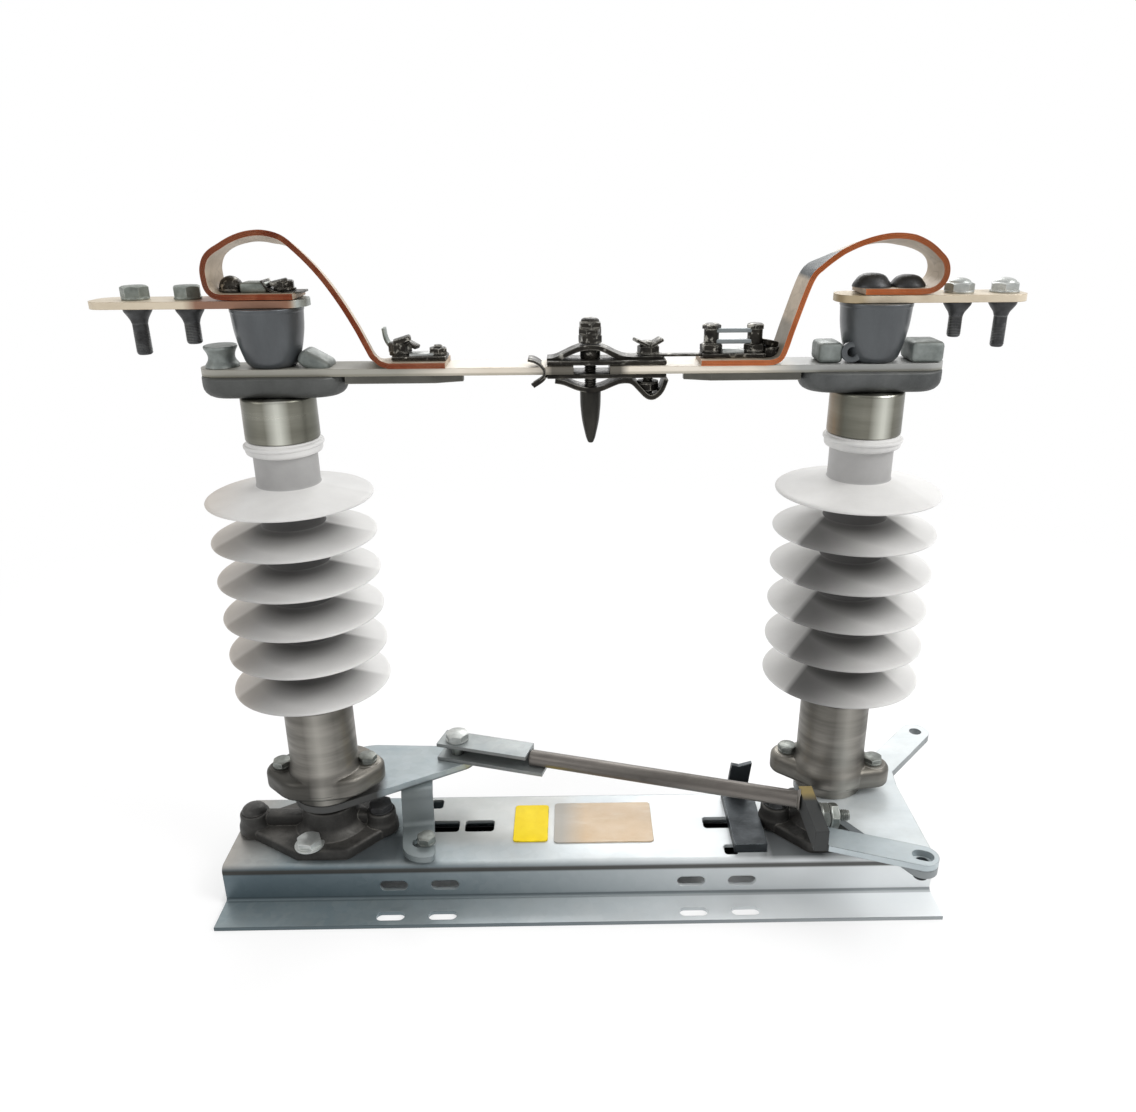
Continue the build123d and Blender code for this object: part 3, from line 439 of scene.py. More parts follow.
# name, two colours, roughness, metallic, grain and its stretch, wear, dust, bump, and for some rounding and more
for row, more in (
    # The grey of cast iron is darker than its own, partly as painted shade where the housings sit.
    (("cast_iron_grey", "3c3b39 272624", (0.42, 0.66), 0.4, (45.0, EVEN),
      ("84827c", 0.0016), ("7d7a74", 0.4), (0.45, 0.0006)), {}),
    (("dark_steel", "383d41 1f2326", (0.32, 0.56), 0.6, (50.0, (0.4, 1.0, 1.0)),
      ("8d9496", 0.0012), ("64696b", 0.35), (0.2, 0.0003), 0.0009), {}),
    (("head_casting", "5d5f5f 414343", (0.42, 0.6), 0.4, (38.0, EVEN),
      ("8f918f", 0.0014), ("8f8f8a", 0.3), (0.35, 0.0005)), {}),
    (("cast_lugs", "8d9390 636966", (0.4, 0.6), 0.4, (60.0, EVEN),
      ("cdd1ce", 0.0016), ("9a9c96", 0.3), (0.35, 0.0004)), {}),
    (("post_paint", "4d5154 3a3d40", (0.3, 0.44), 0.3, (30.0, (1.0, 1.0, 0.4)),
      ("83898e", 0.0014), ("8c8f91", 0.2), (0.12, 0.0003)), {"coat": 0.35}),
    (("contact_steel", "35322d 1c1a18", (0.24, 0.5), 0.8, (140.0, EVEN),
      ("a9a69d", 0.0011), ("77736a", 0.3), (0.5, 0.0004)), {}),
    (("horn_steel", "3b3934 22211e", (0.26, 0.44), 0.75, (60.0, (1.0, 1.0, 0.35)),
      ("6f6d64", 0.001), ("5f5d55", 0.2), (0.2, 0.0003)), {}),
    (("lower_fitting_metal", "84817b 62605b", (0.34, 0.5), 0.85, (22.0, (0.5, 0.5, 5.0)),
      ("c9c5bd", 0.0016), ("a39c8e", 0.35), (0.2, 0.0003)), {}),
    (("cap_metal", "87867c 6f6e64", (0.26, 0.36), 0.9, (16.0, (0.4, 0.4, 6.0)),
      ("b5b3a8", 0.001), ("9a9689", 0.2), (0.06, 0.0002)), {}),
    (("link_steel", "8a8780 6f6a63", (0.32, 0.5), 0.7, (30.0, (0.25, 1.0, 1.0)),
      ("b9b8b3", 0.001), ("a7a49b", 0.3), (0.15, 0.0003), 0.0009), {}),
    (("rod_steel", "7b7671 57534f", (0.32, 0.5), 0.65, (34.0, (0.12, 1.0, 1.0)),
      ("a5a29c", 0.001), ("8b8780", 0.4), (0.2, 0.0003)), {}),
    (("support_steel", "6c6b65 474641", (0.32, 0.5), 0.75, (30.0, (0.3, 1.0, 1.0)),
      ("9b9990", 0.001), ("817e75", 0.3), (0.15, 0.0003), 0.0009), {}),
    (("zinc_bolts", "8b8f8b 666a67", (0.3, 0.5), 0.85, (120.0, EVEN),
      ("cfd2cd", 0.0009), ("9a978a", 0.35), (0.25, 0.0003)), {}),
    (("green_bolts", "8f958f 666c67", (0.34, 0.55), 0.6, (120.0, EVEN),
      ("c3c9c3", 0.0011), ("b3b6ad", 0.4), (0.3, 0.0003)), {}),
    (("shank_steel", "47484a 2d2d2d", (0.34, 0.55), 0.6, (90.0, EVEN),
      ("7c7e7e", 0.0009), ("6a6a66", 0.25), (0.3, 0.0003)), {}),
    (("pale_bolts", "c3c6c4 9da19f", (0.3, 0.48), 0.7, (120.0, EVEN),
      ("e6e8e6", 0.0009), ("b5b2a6", 0.3), (0.2, 0.0003)), {}),
    (("bare_copper", "a8552f 733821", (0.3, 0.46), 0.75, (34.0, EVEN),
      ("c98a66", 0.0006), ("7a5240", 0.25), (0.12, 0.0002)), {}),
    (("tinned_strip_face", "c4b49e 9c8e7c", (0.42, 0.6), 0.35, (40.0, (1.0, 0.5, 1.0)),
      ("a8714f", 0.0008), ("8f8a80", 0.3), (0.3, 0.0003)), {}),
    (("tinned_copper", "eee7da ddd3c3", (0.32, 0.5), 0.2, (24.0, (0.4, 1.0, 1.0)),
      ("a8916f", 0.0007), ("c9c2b4", 0.3), (0.12, 0.0002), 0.0008), {}),
    (("terminal_tin", "ddd0ba bfb29c", (0.34, 0.52), 0.45, (28.0, (0.4, 1.0, 1.0)),
      ("9c8364", 0.0007), ("b7ab98", 0.35), (0.14, 0.0002), 0.0008), {}),
    (("silicone_rubber", "d9d8d6 cbcac8", (0.5, 0.64), 0.0, (16.0, EVEN),
      None, ("c3c1bd", 0.3), (0.1, 0.0002)), {"specular": 0.35}),
    # A darker copy of the silicone for the trunk, as painted shade.
    (("trunk_rubber", "b0afae 9c9b9a", (0.5, 0.64), 0.0, (16.0, EVEN),
      None, ("8a8886", 0.3), (0.1, 0.0002)), {"specular": 0.35}),
    (("yellow_paint", "fbde00 f0cf00", (0.38, 0.52), 0.0, (60.0, EVEN),
      ("8d7a1a", 0.0012), ("d8c24a", 0.12), (0.15, 0.0002), 0.0006), {"specular": 0.2}),
    (("label_plate", "e3ccb0 d0b592", (0.5, 0.66), 0.0, (34.0, (0.5, 1.0, 1.0)),
      ("9c8870", 0.001), ("e3d8c8", 0.4), (0.2, 0.0002), 0.0004), {}),
):
    finish(*row, **more)
print(len(FINISH), "finishes")

# %% [markdown]
# ### What only one finish has
# Cast heads get painted shade toward their belly and on the left head, the black contact is worn bright in specks,
# turned metal has a painted highlight on its front and painted shade at its sides, on the left flange and high on
# the neck under the insulator, and the copper is redder or paler by its place along the pole. The masks read Object
# coordinates.

# %% Castings and turned metal
tree = FINISH["head_casting"].node_tree
# Painted shade: the left head is darker.
recolour(tree, "50514e", along(tree, "X", 0.0, -0.05), 0.5)
# Painted shade toward the belly.
recolour(tree, "353634", along(tree, "Z", 0.403, 0.394), 0.5)
tree = FINISH["contact_steel"].node_tree
specks = ramp(tree, clouds(tree, 210.0, EVEN, 33.0)["Cloud"], 0.7, 0.95, 0.0, 0.7)
recolour(tree, "cfccc2", specks, along(tree, "Z", 0.41, 0.418))
tree = FINISH["lower_fitting_metal"].node_tree
sideways, distance = from_column(tree)
# Painted shade high on the neck, under the insulator.
recolour(tree, "4a4843", along(tree, "Z", 0.132, 0.158), 0.55)
# Painted shade on the left of the left flange.
flange = times(tree, along(tree, "Z", 0.103, 0.099), ramp(tree, sideways, 0.03, 0.0, 0.0, 0.85))
recolour(tree, "3a3936", flange, along(tree, "X", 0.0, -0.01))
# Painted highlight: a bright vertical band just right of the middle.
recolour(tree, "c4c1b9", ramp(tree, sideways, -0.006, 0.003), ramp(tree, sideways, 0.016, 0.005), 0.4)
tree = FINISH["cap_metal"].node_tree
sideways, distance = from_column(tree)
# Painted shade at both sides of the cap.
recolour(tree, "4a4b43", ramp(tree, sideways, -0.008, -0.018, 0.0, 0.5), ramp(tree, sideways, -0.026, -0.021))
recolour(tree, "4d4e46", ramp(tree, sideways, 0.011, 0.023, 0.0, 0.5))
# Painted highlight: a bright vertical band just right of the middle.
recolour(tree, "d5d6cc", ramp(tree, sideways, -0.004, 0.004), ramp(tree, sideways, 0.0125, 0.006), 0.85)
# A warm brown in clouds along the left edge.
warm_left_edge = ramp(tree, clouds(tree, 18.0, (1.0, 1.0, 0.4), 8.0)["Cloud"], 0.1, 0.6)
recolour(tree, "8a6c4c", warm_left_edge, ramp(tree, sideways, -0.0185, -0.0235, 0.0, 0.5))
print("heads, contact, fittings and caps")

# %% Copper and tin
tree = FINISH["bare_copper"].node_tree
for colour, low, high, share in (
    ("5a3324", -0.205, -0.228, 0.6), ("752f1c", -0.02, -0.08, 0.45), ("cf7340", 0.05, 0.09, 0.65),
    ("8a4f33", 0.21, 0.232, 0.6),
):
    recolour(tree, colour, along(tree, "X", low, high), share)
tree = FINISH["tinned_strip_face"].node_tree
cracks = node(tree, "ShaderNodeTexVoronoi", feature="DISTANCE_TO_EDGE", Vector=where(tree), Scale=95.0)
recolour(tree, "6d6358", ramp(tree, cracks.outputs["Distance"], 0.03, 0.0, 0.0, 0.38))
patch = times(tree, along(tree, "X", 0.1475, 0.1505), along(tree, "X", 0.1725, 0.1705))
recolour(tree, "3d4243", patch, along(tree, "Z", 0.464, 0.467))
recolour(tree, "6d6a61", along(tree, "X", 0.12, 0.13), along(tree, "Z", 0.44, 0.436), 0.7)
tree = FINISH["tinned_copper"].node_tree
recolour(tree, "85867f", along(tree, "X", -0.075, -0.115), 0.8)
recolour(tree, "8b8f90", along(tree, "X", 0.118, 0.15), 0.85)
recolour(tree, "6e6a58", stripe(tree, "Z", 0.4054, 0.4076, 0.0005), 0.5)
# Blackened contact zone near the stud, partly painted shade between the jaws.
recolour(tree, "37342c", stripe(tree, "X", -0.017, 0.034, 0.003), 0.9)
tree = FINISH["terminal_tin"].node_tree
browned = clouds(tree, 13.0, EVEN, 21.0)["Cloud"]
recolour(tree, "9a8468", ramp(tree, browned, 0.55, 1.0, 0.0, 0.5))
recolour(tree, "7c4c36", stripe(tree, "X", -0.244, -0.178, 0.004), 0.85)
recolour(tree, "a9afab", along(tree, "X", -0.18, -0.1765), along(tree, "X", 0.0, -0.01))
recolour(tree, "a3906c", along(tree, "X", 0.192, 0.186), along(tree, "X", 0.0, 0.01), 0.7)
print("copper, tinned faces, blades and terminals")

# %% [markdown]
# ### Rubber and plate
# Light from the right leaves a dark sector on the front of each shed, deepest at the trunk, with straight borders
# where the light begins. It is painted as the space between two slanting lines through the column, one for each
# side, and the right of each shed gets painted light; the sheds' undersides are greyer in clouds, and the trunk
# between the sheds gets painted shade. The plate's film is rubbed pale and has faded at its left end.

# %% Rubber and plate
tree = FINISH["silicone_rubber"].node_tree
sideways, distance = from_column(tree)
depth = parts_of(tree, where(tree))["Y"]
right_column = along(tree, "X", -0.01, 0.01)
left_line = combine(tree, "SUBTRACT", sideways, combine(tree, "MULTIPLY", depth, 0.77))
right_line = combine(tree, "ADD", sideways, combine(tree, "MULTIPLY", depth, 0.47))
right_edge = ramp(tree, times(tree, right_line, right_column), 0.023, 0.0185)
front = along(tree, "Y", 0.001, -0.003)
sector = times(tree, ramp(tree, left_line, -0.025, -0.019), right_edge, front)
leftward = ramp(tree, sideways, 0.02, -0.035, 0.05, 0.5)
extra = times(tree, right_column, ramp(tree, sideways, 0.01, -0.03, 0.0, 0.32))
leftward = combine(tree, "ADD", leftward, extra)
deep = combine(tree, "MAXIMUM", ramp(tree, distance, 0.056, 0.027, 0.0, 0.88), leftward)
recolour(tree, "4b4a49", sector, deep, along(tree, "Z", 0.316, 0.31))
# Painted light: the right of each shed is lighter, less so inside the dark sector.
open_light = combine(tree, "SUBTRACT", 1.0, times(tree, sector, 0.6))
recolour(tree, "f0f0ef", ramp(tree, sideways, 0.0, 0.045, 0.0, 0.3), open_light)
recolour(tree, "b5a695", ramp(tree, sideways, -0.02, -0.055, 0.0, 0.5), along(tree, "X", 0.0, -0.01))
# Greyer in clouds on the faces that look down.
underside_clouds = ramp(tree, clouds(tree, 26.0, (1.0, 1.0, 0.3), 5.0)["Cloud"], 0.3, 1.0)
recolour(tree, "8f9093", underside_clouds, facing(tree, "Z", 0.3, -0.4), 0.45)
# Painted shade on the trunk between the sheds, below the top shed.
tree = FINISH["trunk_rubber"].node_tree
recolour(tree, "454443", along(tree, "Z", 0.328, 0.318), 0.92)
tree = FINISH["label_plate"].node_tree
rubbed = clouds(tree, 28.0, (0.5, 1.6, 1.0), 12.0)["Cloud"]
recolour(tree, "ece3d6", ramp(tree, rubbed, 0.5, 0.95, 0.0, 0.6))
recolour(tree, "a9a8a3", along(tree, "X", 0.006, -0.014), 0.85)
print("rubber and plate")

# %% Paint the CAD nodes
# The right lever takes the paler zinc of painted light.
OWN_FINISH = {
    "left_terminal_plate": "terminal_tin", "right_terminal_plate": "terminal_tin", "left_lever": "lever_zinc",
    "left_stop_arm": "lever_zinc", "right_lever": "bright_zinc", "link_fork": "fork_zinc", "link_lug": "lug_steel",
}
for name, solid in NODES.items():
    solid.data.materials.clear()
    solid.data.materials.append(FINISH[OWN_FINISH.get(name, SLOT_OF[name])])
print("painted", len(NODES), "CAD nodes with", len(FINISH), "finishes")

# %% [markdown]
# ## A small workshop
# Every new piece is drawn in millimetres like the drawings of the switch, and is shrunk to metres when it is
# done. Each closed shape is made alone, its doubles are merged and its faces turned outwards, and then it joins
# the piece. Booleans could cut holes too, but they leave ragged faces, so shapes are kept simple and overlap.

# %% Pieces


def add(piece, make, *sizes, at=Matrix(), face=0, **more):
    """Make one closed shape on its own, move it into place and join it to the piece."""
    part = bmesh.new()
    make(part, *sizes, **more)
    bmesh.ops.remove_doubles(part, verts=part.verts, dist=0.001)
    bmesh.ops.recalc_face_normals(part, faces=part.faces)
    for each in part.faces:
        each.material_index = face
    bmesh.ops.transform(part, matrix=at, verts=part.verts)
    carried = bpy.data.meshes.new("shape")
    part.to_mesh(carried)
    piece.from_mesh(carried)
    bpy.data.meshes.remove(carried)
    part.free()


def complete(name, piece, finishes, body, instead_of=None, sharp=32.0, bend=None):
    """Turn a bmesh in millimetres into a named object in metres that moves with its body, or that stays fixed where
    it stands when a bend is given.

    finishes are names with spaces between them, one for each face number, and instead_of is a CAD node.
    """
    bmesh.ops.scale(piece, vec=(0.001, 0.001, 0.001), verts=piece.verts)
    mesh = bpy.data.meshes.new(name)
    piece.to_mesh(mesh)
    piece.free()
    mesh.shade_smooth()
    mesh.set_sharp_from_angle(angle=radians(sharp))
    for used in finishes.split():
        mesh.materials.append(FINISH[used])
    made = bpy.data.objects.new(name, mesh)
    bpy.context.collection.objects.link(made)
    if bend:
        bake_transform(made)
    else:
        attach(made, body)
    if instead_of:
        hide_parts(instead_of)
    print(name, len(mesh.polygons), "faces on", body)


def at(x, y, z, turn=0.0):
    """The place of a shape, turned about the upright axis by degrees."""
    return Matrix.Translation((x, y, z)) @ Matrix.Rotation(radians(turn), 4, "Z")


def tipped(degrees, axis="Y"):
    """A turn about another axis."""
    return Matrix.Rotation(radians(degrees), 4, axis)


# %% [markdown]
# ### Shapes
# Sheds, necks, cups and domes are outlines spun round an axis. Hexagons are rings drawn upward, with a chamfer that
# bends as turning leaves it. Castings are bands round discs, plates are rounded blocks, and bent metal is a ribbon
# along a smooth line.

# %% Round shapes


def soft(points, reach, steps=4):
    """The same line with every inner corner rounded; reach is how far back the curve starts."""
    line = [Vector(points[0])]
    for index, (before, corner, after) in enumerate(zip(points, points[1:], points[2:])):
        before, corner, after = Vector(before), Vector(corner), Vector(after)
        wanted = reach[index] if isinstance(reach, list) else reach
        start = corner + (before - corner).normalized() * min(wanted, (before - corner).length * 0.49)
        end = corner + (after - corner).normalized() * min(wanted, (after - corner).length * 0.49)
        for step in range(steps + 1):
            t = step / steps
            line.append(start * (1 - t) ** 2 + corner * (2 * t * (1 - t)) + end * t ** 2)
    line.append(Vector(points[-1]))
    return line


def turned(part, outline, steps=72):
    """Spin an outline of radius and height round the upright axis."""
    verts = [part.verts.new((radius, 0.0, height)) for radius, height in outline]
    edges = [part.edges.new(pair) for pair in zip(verts, verts[1:])]
    bmesh.ops.spin(
        part, geom=verts + edges, cent=(0, 0, 0), axis=(0, 0, 1), angle=2 * pi, steps=steps, use_merge=True
    )


def lathe(piece, outline, reach, steps, spins, place, face=0):
    """Add a turned shape whose outline has its corners rounded."""
    add(piece, turned, soft(outline, reach, steps), spins, at=place, face=face)


def disc(part, radius, height, round_off=0.4):
    """A washer or short round bar with softened rims."""
    turned(part, soft([(0, 0), (radius, 0), (radius, height), (0, height)], round_off, 2), 40)


def open_edges(part):
    """The edges that only one face uses."""
    return [e for e in part.edges if len(e.link_faces) == 1]


def thread(part, radius, length, pitch=1.5, steps=18):
    """A screw thread: a slim core with one small triangle swept up round it."""
    core = radius - 0.55 * pitch
    bmesh.ops.create_cone(
        part, cap_ends=True, segments=steps, radius1=core + 0.12, radius2=core + 0.12, depth=length,
        matrix=Matrix.Translation((0, 0, length / 2)),
    )
    turns = max(1, int(length / pitch) - 1)
    start = (length - (turns + 1) * pitch) / 2 + 0.02
    corners = ((core, start), (radius, start + pitch * 0.46), (core, start + pitch * 0.92))
    verts = [part.verts.new((x, 0.0, z)) for x, z in corners]
    edges = [part.edges.new((verts[i], verts[(i + 1) % 3])) for i in range(3)]
    bmesh.ops.spin(
        part, geom=verts + edges, cent=(0, 0, 0), axis=(0, 0, 1), dvec=(0, 0, pitch / steps),
        angle=2 * pi * turns, steps=steps * turns,
    )
    bmesh.ops.holes_fill(part, edges=open_edges(part), sides=3)


# %% Hexagons, bands, blocks and ribbons


def hexagon(part, across, height):
    """A hexagon head or nut with the curved chamfer that turning leaves on its corners."""
    half = across / 2
    face_radius = 0.93 * half

    def shape(verts, level):
        for vert in verts:
            angle = (atan2(vert.co.y, vert.co.x) + pi / 6) % (pi / 3) - pi / 6
            out = half / cos(angle)
            drop = (out - face_radius) * 0.55
            radius = face_radius if level == "face" else out
            vert.co.x, vert.co.y = Vector((vert.co.x, vert.co.y)).normalized() * radius
            vert.co.z = {"bottom": 0.0, "rim": height - drop, "face": height}[level]

    shape(bmesh.ops.create_circle(part, cap_ends=False, segments=36, radius=half)["verts"], "bottom")
    edges = list(part.edges)
    for level in ("rim", "face"):
        made = bmesh.ops.extrude_edge_only(part, edges=edges)["geom"]
        shape([g for g in made if isinstance(g, bmesh.types.BMVert)], level)
        edges = [g for g in made if isinstance(g, bmesh.types.BMEdge) and len(g.link_faces) == 1]
    bmesh.ops.holes_fill(part, edges=open_edges(part), sides=0)


def band(part, discs, height, round_bottom, round_top, steps=48, segments=4):
    """A solid whose outline is a tight band round some discs, with rounded rims."""
    for x, y, radius in discs:
        bmesh.ops.create_cone(
            part, cap_ends=False, segments=steps, radius1=radius, radius2=radius, depth=height,
            matrix=Matrix.Translation((x, y, height / 2)),
        )
    bmesh.ops.delete(part, geom=part.faces[:], context="FACES_ONLY")
    bmesh.ops.delete(part, geom=part.edges[:], context="EDGES_FACES")
    bmesh.ops.convex_hull(part, input=part.verts[:])
    bmesh.ops.delete(part, geom=[v for v in part.verts if not v.link_faces], context="VERTS")
    bmesh.ops.dissolve_limit(part, angle_limit=radians(1.0), verts=part.verts[:], edges=part.edges[:])
    for level, width in ((0.0, round_bottom), (height, round_top)):
        rim = [e for e in part.edges if all(abs(v.co.z - level) < 0.001 for v in e.verts)]
        bmesh.ops.bevel(
            part, geom=rim, offset=width, offset_type="OFFSET", segments=segments, profile=0.5,
            affect="EDGES", material=-1, clamp_overlap=False,
        )


def block(part, size, bevel=0.6, segments=2):
    """A box with its middle at the origin and every edge rounded."""
    bmesh.ops.create_cube(part, size=1.0)
    bmesh.ops.scale(part, vec=size, verts=part.verts)
    bmesh.ops.bevel(
        part, geom=part.edges[:], offset=bevel, segments=segments, profile=0.5, affect="EDGES", material=-1
    )


def ribbon(part, line, width, thickness, lift=0.0, twist=None, narrowed=False):
    """A flat bar that follows a line of x and z, its width along y, lifted off the line and twisted if asked."""
    line = [Vector(p) for p in line]
    edge = None
    for index, point in enumerate(line):
        ahead = (line[min(index + 1, len(line) - 1)] - line[max(index - 1, 0)]).normalized()
        normal = Vector((-ahead.y, 0, ahead.x))
        lean = radians(twist(index / (len(line) - 1))) if twist else 0.0
        centre = Vector((point.x, 0, point.y)) + normal * lift
        side = Vector((0, cos(lean), 0)) + normal * sin(lean)
        span = width / 2
        if narrowed and index < 3:
            span *= (0.55, 0.86, 0.97)[index]
        if edge is None:
            edge = part.edges.new([part.verts.new(centre - side * span), part.verts.new(centre + side * span)])
            continue
        made = bmesh.ops.extrude_edge_only(part, edges=[edge])["geom"]
        verts = [g for g in made if isinstance(g, bmesh.types.BMVert)]
        edge = next(g for g in made if isinstance(g, bmesh.types.BMEdge) and all(v in verts for v in g.verts))
        for vert, sign in zip(sorted(verts, key=lambda v: v.co.y), (-1, 1)):
            vert.co = centre + side * (span * sign)
    bmesh.ops.recalc_face_normals(part, faces=part.faces)
    bmesh.ops.solidify(part, geom=part.faces[:], thickness=thickness)


def smooth_line(points, steps=6):
    """A smooth curve through all the points, for bent metal that was shaped by hand."""
    points = [Vector((x, z, 0.0)) for x, z in points]
    line = []
    for index, (start, end) in enumerate(zip(points, points[1:])):
        before = points[max(index - 1, 0)]
        after = points[min(index + 2, len(points) - 1)]
        third = (end - start).length / 3
        lead = (end - before).normalized() * third
        trail = (after - start).normalized() * third
        line += interpolate_bezier(start, start + lead, end - trail, end, steps + 1)[:-1]
    return [(p.x, p.y) for p in line + points[-1:]]


print("shapes are ready")

# %% [markdown]
# ## Insulators
# A composite insulator is one rubber moulding on a glass fibre rod: six thin sheds with a cone on top and a
# nearly flat underside. A single outline turned round the axis is the natural way, because the real mould is
# turned as well. Every corner of the outline is rounded, most of all where a shed grows out of the trunk.

# %% Insulators
# The column axes, and the way from the middle out to each.
SIDES = {"left": (-200.0, -1), "right": (200.0, 1)}
TRUNK, SHED, PITCH, FIRST_SHED = 21.7, 57.3, 29.0, 175.7
outline, reach = [(0, 158.1), (21.0, 158.1), (TRUNK, 158.9)], [0.5]
for step in range(6):
    rim = FIRST_SHED + step * PITCH
    outline += [(TRUNK, rim - 0.4), (SHED - 4.0, rim - 1.6), (SHED - 0.3, rim - 1.1), (SHED, rim + 0.4),
                (SHED - 2.0, rim + 1.5), (TRUNK, rim + 9.0)]
    reach += [3.0, 1.5, 1.0, 0.9, 1.2, 2.2]
outline += [(TRUNK, 352.0), (25.4, 353.0), (26.0, 354.6), (26.0, 358.6), (25.2, 360.4), (24.4, 361.9), (0, 361.9)]
reach += [1.2, 0.8, 1.0, 1.0, 0.7, 0.5]
moulding = outline[:1] + soft(outline[1:], reach, 4)
lip = [(25.0, -2.0), (27.1, -0.7), (27.1, 1.2), (24.6, 2.4), (25.0, -2.0)]
for side, (x, sign) in SIDES.items():
    piece = bmesh.new()
    add(piece, turned, moulding, 112, at=at(x, 0, 0))
    lathe(piece, lip, 0.7, 3, 96, at(x, 0, 358.2) @ tipped(1.2 * sign))
    piece.normal_update()
    for face in piece.faces:
        middle = face.calc_center_median()
        # The trunk's faces take the darker rubber of painted shade.
        if hypot(middle.x - x, middle.y) < TRUNK + 0.7 and abs(face.normal.z) < 0.5:
            face.material_index = 1
    complete(f"{side}_weather_sheds", piece, "silicone_rubber trunk_rubber", f"{side}_column",
             f"{side}_insulator", sharp=50)

# %% [markdown]
# ## Castings
# The lower fitting is a flange with a turned neck, the head is a thick bar with a round belly, and the housing is
# a six-sided foot with a drum. Cast edges are never sharp. The flanges are tight bands round a few discs, which is
# exactly how a convex hull sees them, and a bevel then rounds their rims.

# %% Lower fittings and caps
EAR = 33.0
# The turn of each flange on its column in degrees, and the round middle of its outline.
FLANGE = {"left": (4.0, [(0, 0, 29.8), (-12.0, 0, 28.4), (12.0, 0, 28.4)]), "right": (-16.0, [(0, 0, 26.8)])}
neck = [(0, 75.1), (25.6, 75.1), (26.0, 76.0), (26.0, 84.0), (30.5, 86.0), (30.5, 95.4), (26.0, 102.6),
        (25.7, 156.4), (24.6, 157.7), (0, 157.7)]
sleeve = [(0, 362.1), (24.4, 362.1), (25.0, 363.0), (24.8, 390.6), (24.0, 391.8), (0, 391.8)]
for side, (x, _) in SIDES.items():
    lean, round_middle = FLANGE[side]
    piece = bmesh.new()
    discs = [(-EAR, 0, 12.8)] + round_middle + [(EAR, 0, 12.8)]
    add(piece, band, discs, 16.8, 3.0, 4.8, at=at(x, 0, 81.6, lean))
    lathe(piece, neck, [0.4, 0.4, 3.0, 1.0, 2.5, 5.4, 0.8, 0.8], 5, 96, at(x, 0, 0))
    for end in (-EAR, EAR):
        add(piece, disc, 9.6, 1.0, 0.4, at=at(x, 0, 0, lean) @ at(end, 0, 97.8))
    complete(f"{side}_base_fitting", piece, "lower_fitting_metal", f"{side}_column",
             f"{side}_lower_fitting")
    piece = bmesh.new()
    lathe(piece, sleeve, [0.5, 0.6, 0.6, 0.5], 3, 96, at(x, 0, 0))
    complete(f"{side}_cap_sleeve", piece, "cap_metal", f"{side}_column", f"{side}_upper_cap")

# %% Heads and posts
cup = [(0, 411.1), (14.5, 411.1), (17.4, 414.3), (20.3, 424.0), (22.4, 435.0), (23.2, 446.6), (23.6, 447.4),
       (23.6, 449.6), (0, 449.6)]
eye = [(3.2, -1.6), (7.0, -1.6), (7.0, 1.6), (3.2, 1.6), (3.2, -1.6)]
for side, (x, _) in SIDES.items():
    piece = bmesh.new()
    add(piece, band, [(-27.0, 0, 21.0), (27.0, 0, 21.0)], 13.8, 7.5, 1.2, 64, 5, at=at(x, 0, 392.1))
    complete(f"{side}_saddle", piece, "head_casting", f"{side}_column", f"{side}_head")
    piece = bmesh.new()
    lathe(piece, cup, [2.0, 2.2, 4.0, 4.0, 0.4, 0.5, 0.6], 4, 96, at(x, 0, 0))
    if side == "right":
        lathe(piece, eye, 0.6, 2, 40, at(x - 16.5, -11.0, 418.5) @ tipped(90, "X"))
    complete(f"{side}_flared_post", piece, "post_paint", f"{side}_column",
             f"{side}_swivel_post")

# %% Bearing housings
NEAR_EAR, FAR_EAR = 40.0, {"left": 62.0, "right": 40.0}
rise = [(0, 36.0), (30.0, 36.0), (30.0, 42.0), (22.5, 47.5), (21.8, 62.8), (20.8, 63.9), (0, 63.9)]
boss = [(0, 36.0), (13.4, 36.0), (13.0, 43.0), (11.7, 46.0), (11.5, 52.8), (10.6, 53.9), (0, 53.9)]
for side, (x, sign) in SIDES.items():
    piece = bmesh.new()
    corners = [(FAR_EAR[side] + 6.0, 0), (18.0, -32.0), (-17.0, -32.0), (-46.0, 0), (-17.0, 32.0), (18.0, 32.0)]
    add(piece, band, [(out * sign, y, 6.0) for out, y in corners], 8.8, 0.4, 2.6, 24, at=at(x, 0, 34.1))
    lathe(piece, rise, [0.5, 2.5, 4.5, 0.8, 0.6], 5, 72, at(x, 0, 0))
    for ear in (FAR_EAR[side] * sign, -NEAR_EAR * sign):
        lathe(piece, boss, [0.5, 1.5, 2.5, 0.8, 0.6], 4, 48, at(x + ear, 0, 0))
        add(piece, block, (abs(ear) - 14.0, 11.0, 16.0), 2.6, 3, at=at(x + ear / 2, 0, 45.0))
    complete(f"{side}_bearing_casting", piece, "cast_iron_grey", "base",
             f"{side}_bearing_housing")

# %% [markdown]
# ## Bolts
# A bolt is a chamfered hexagon, a washer and a thread. The chamfer matters most: it turns the six corners into
# arcs, and without it a bolt looks like a toy. Threads are real helices because their ends show under the
# terminals. Each bolt group replaces the CAD node of the same place.

# %% Screw helpers
WASHER = 1.4


def screw(piece, x, y, seat, across=17.0, height=6.5, turn=0.0, end=0.0, face=0):
    """A head on its washer, standing on a seat, with a thread end above when asked."""
    add(piece, disc, across * 0.56, WASHER, at=at(x, y, seat + 0.05), face=face)
    add(piece, hexagon, across, height - WASHER, at=at(x, y, seat + WASHER, turn), face=face)
    if end:
        add(piece, thread, across * 0.29, end + 1.0, at=at(x, y, seat + height - 1.0), face=face)


def stack(piece, x, share, washer, drop, nuts):
    """Nuts on a stud, each on its washer: the seat, width, height and turn of every nut."""
    for seat, across, height, turn in nuts:
        add(piece, disc, across * share, washer, at=at(x, 0, seat - drop))
        add(piece, hexagon, across, height, at=at(x, 0, seat, turn))


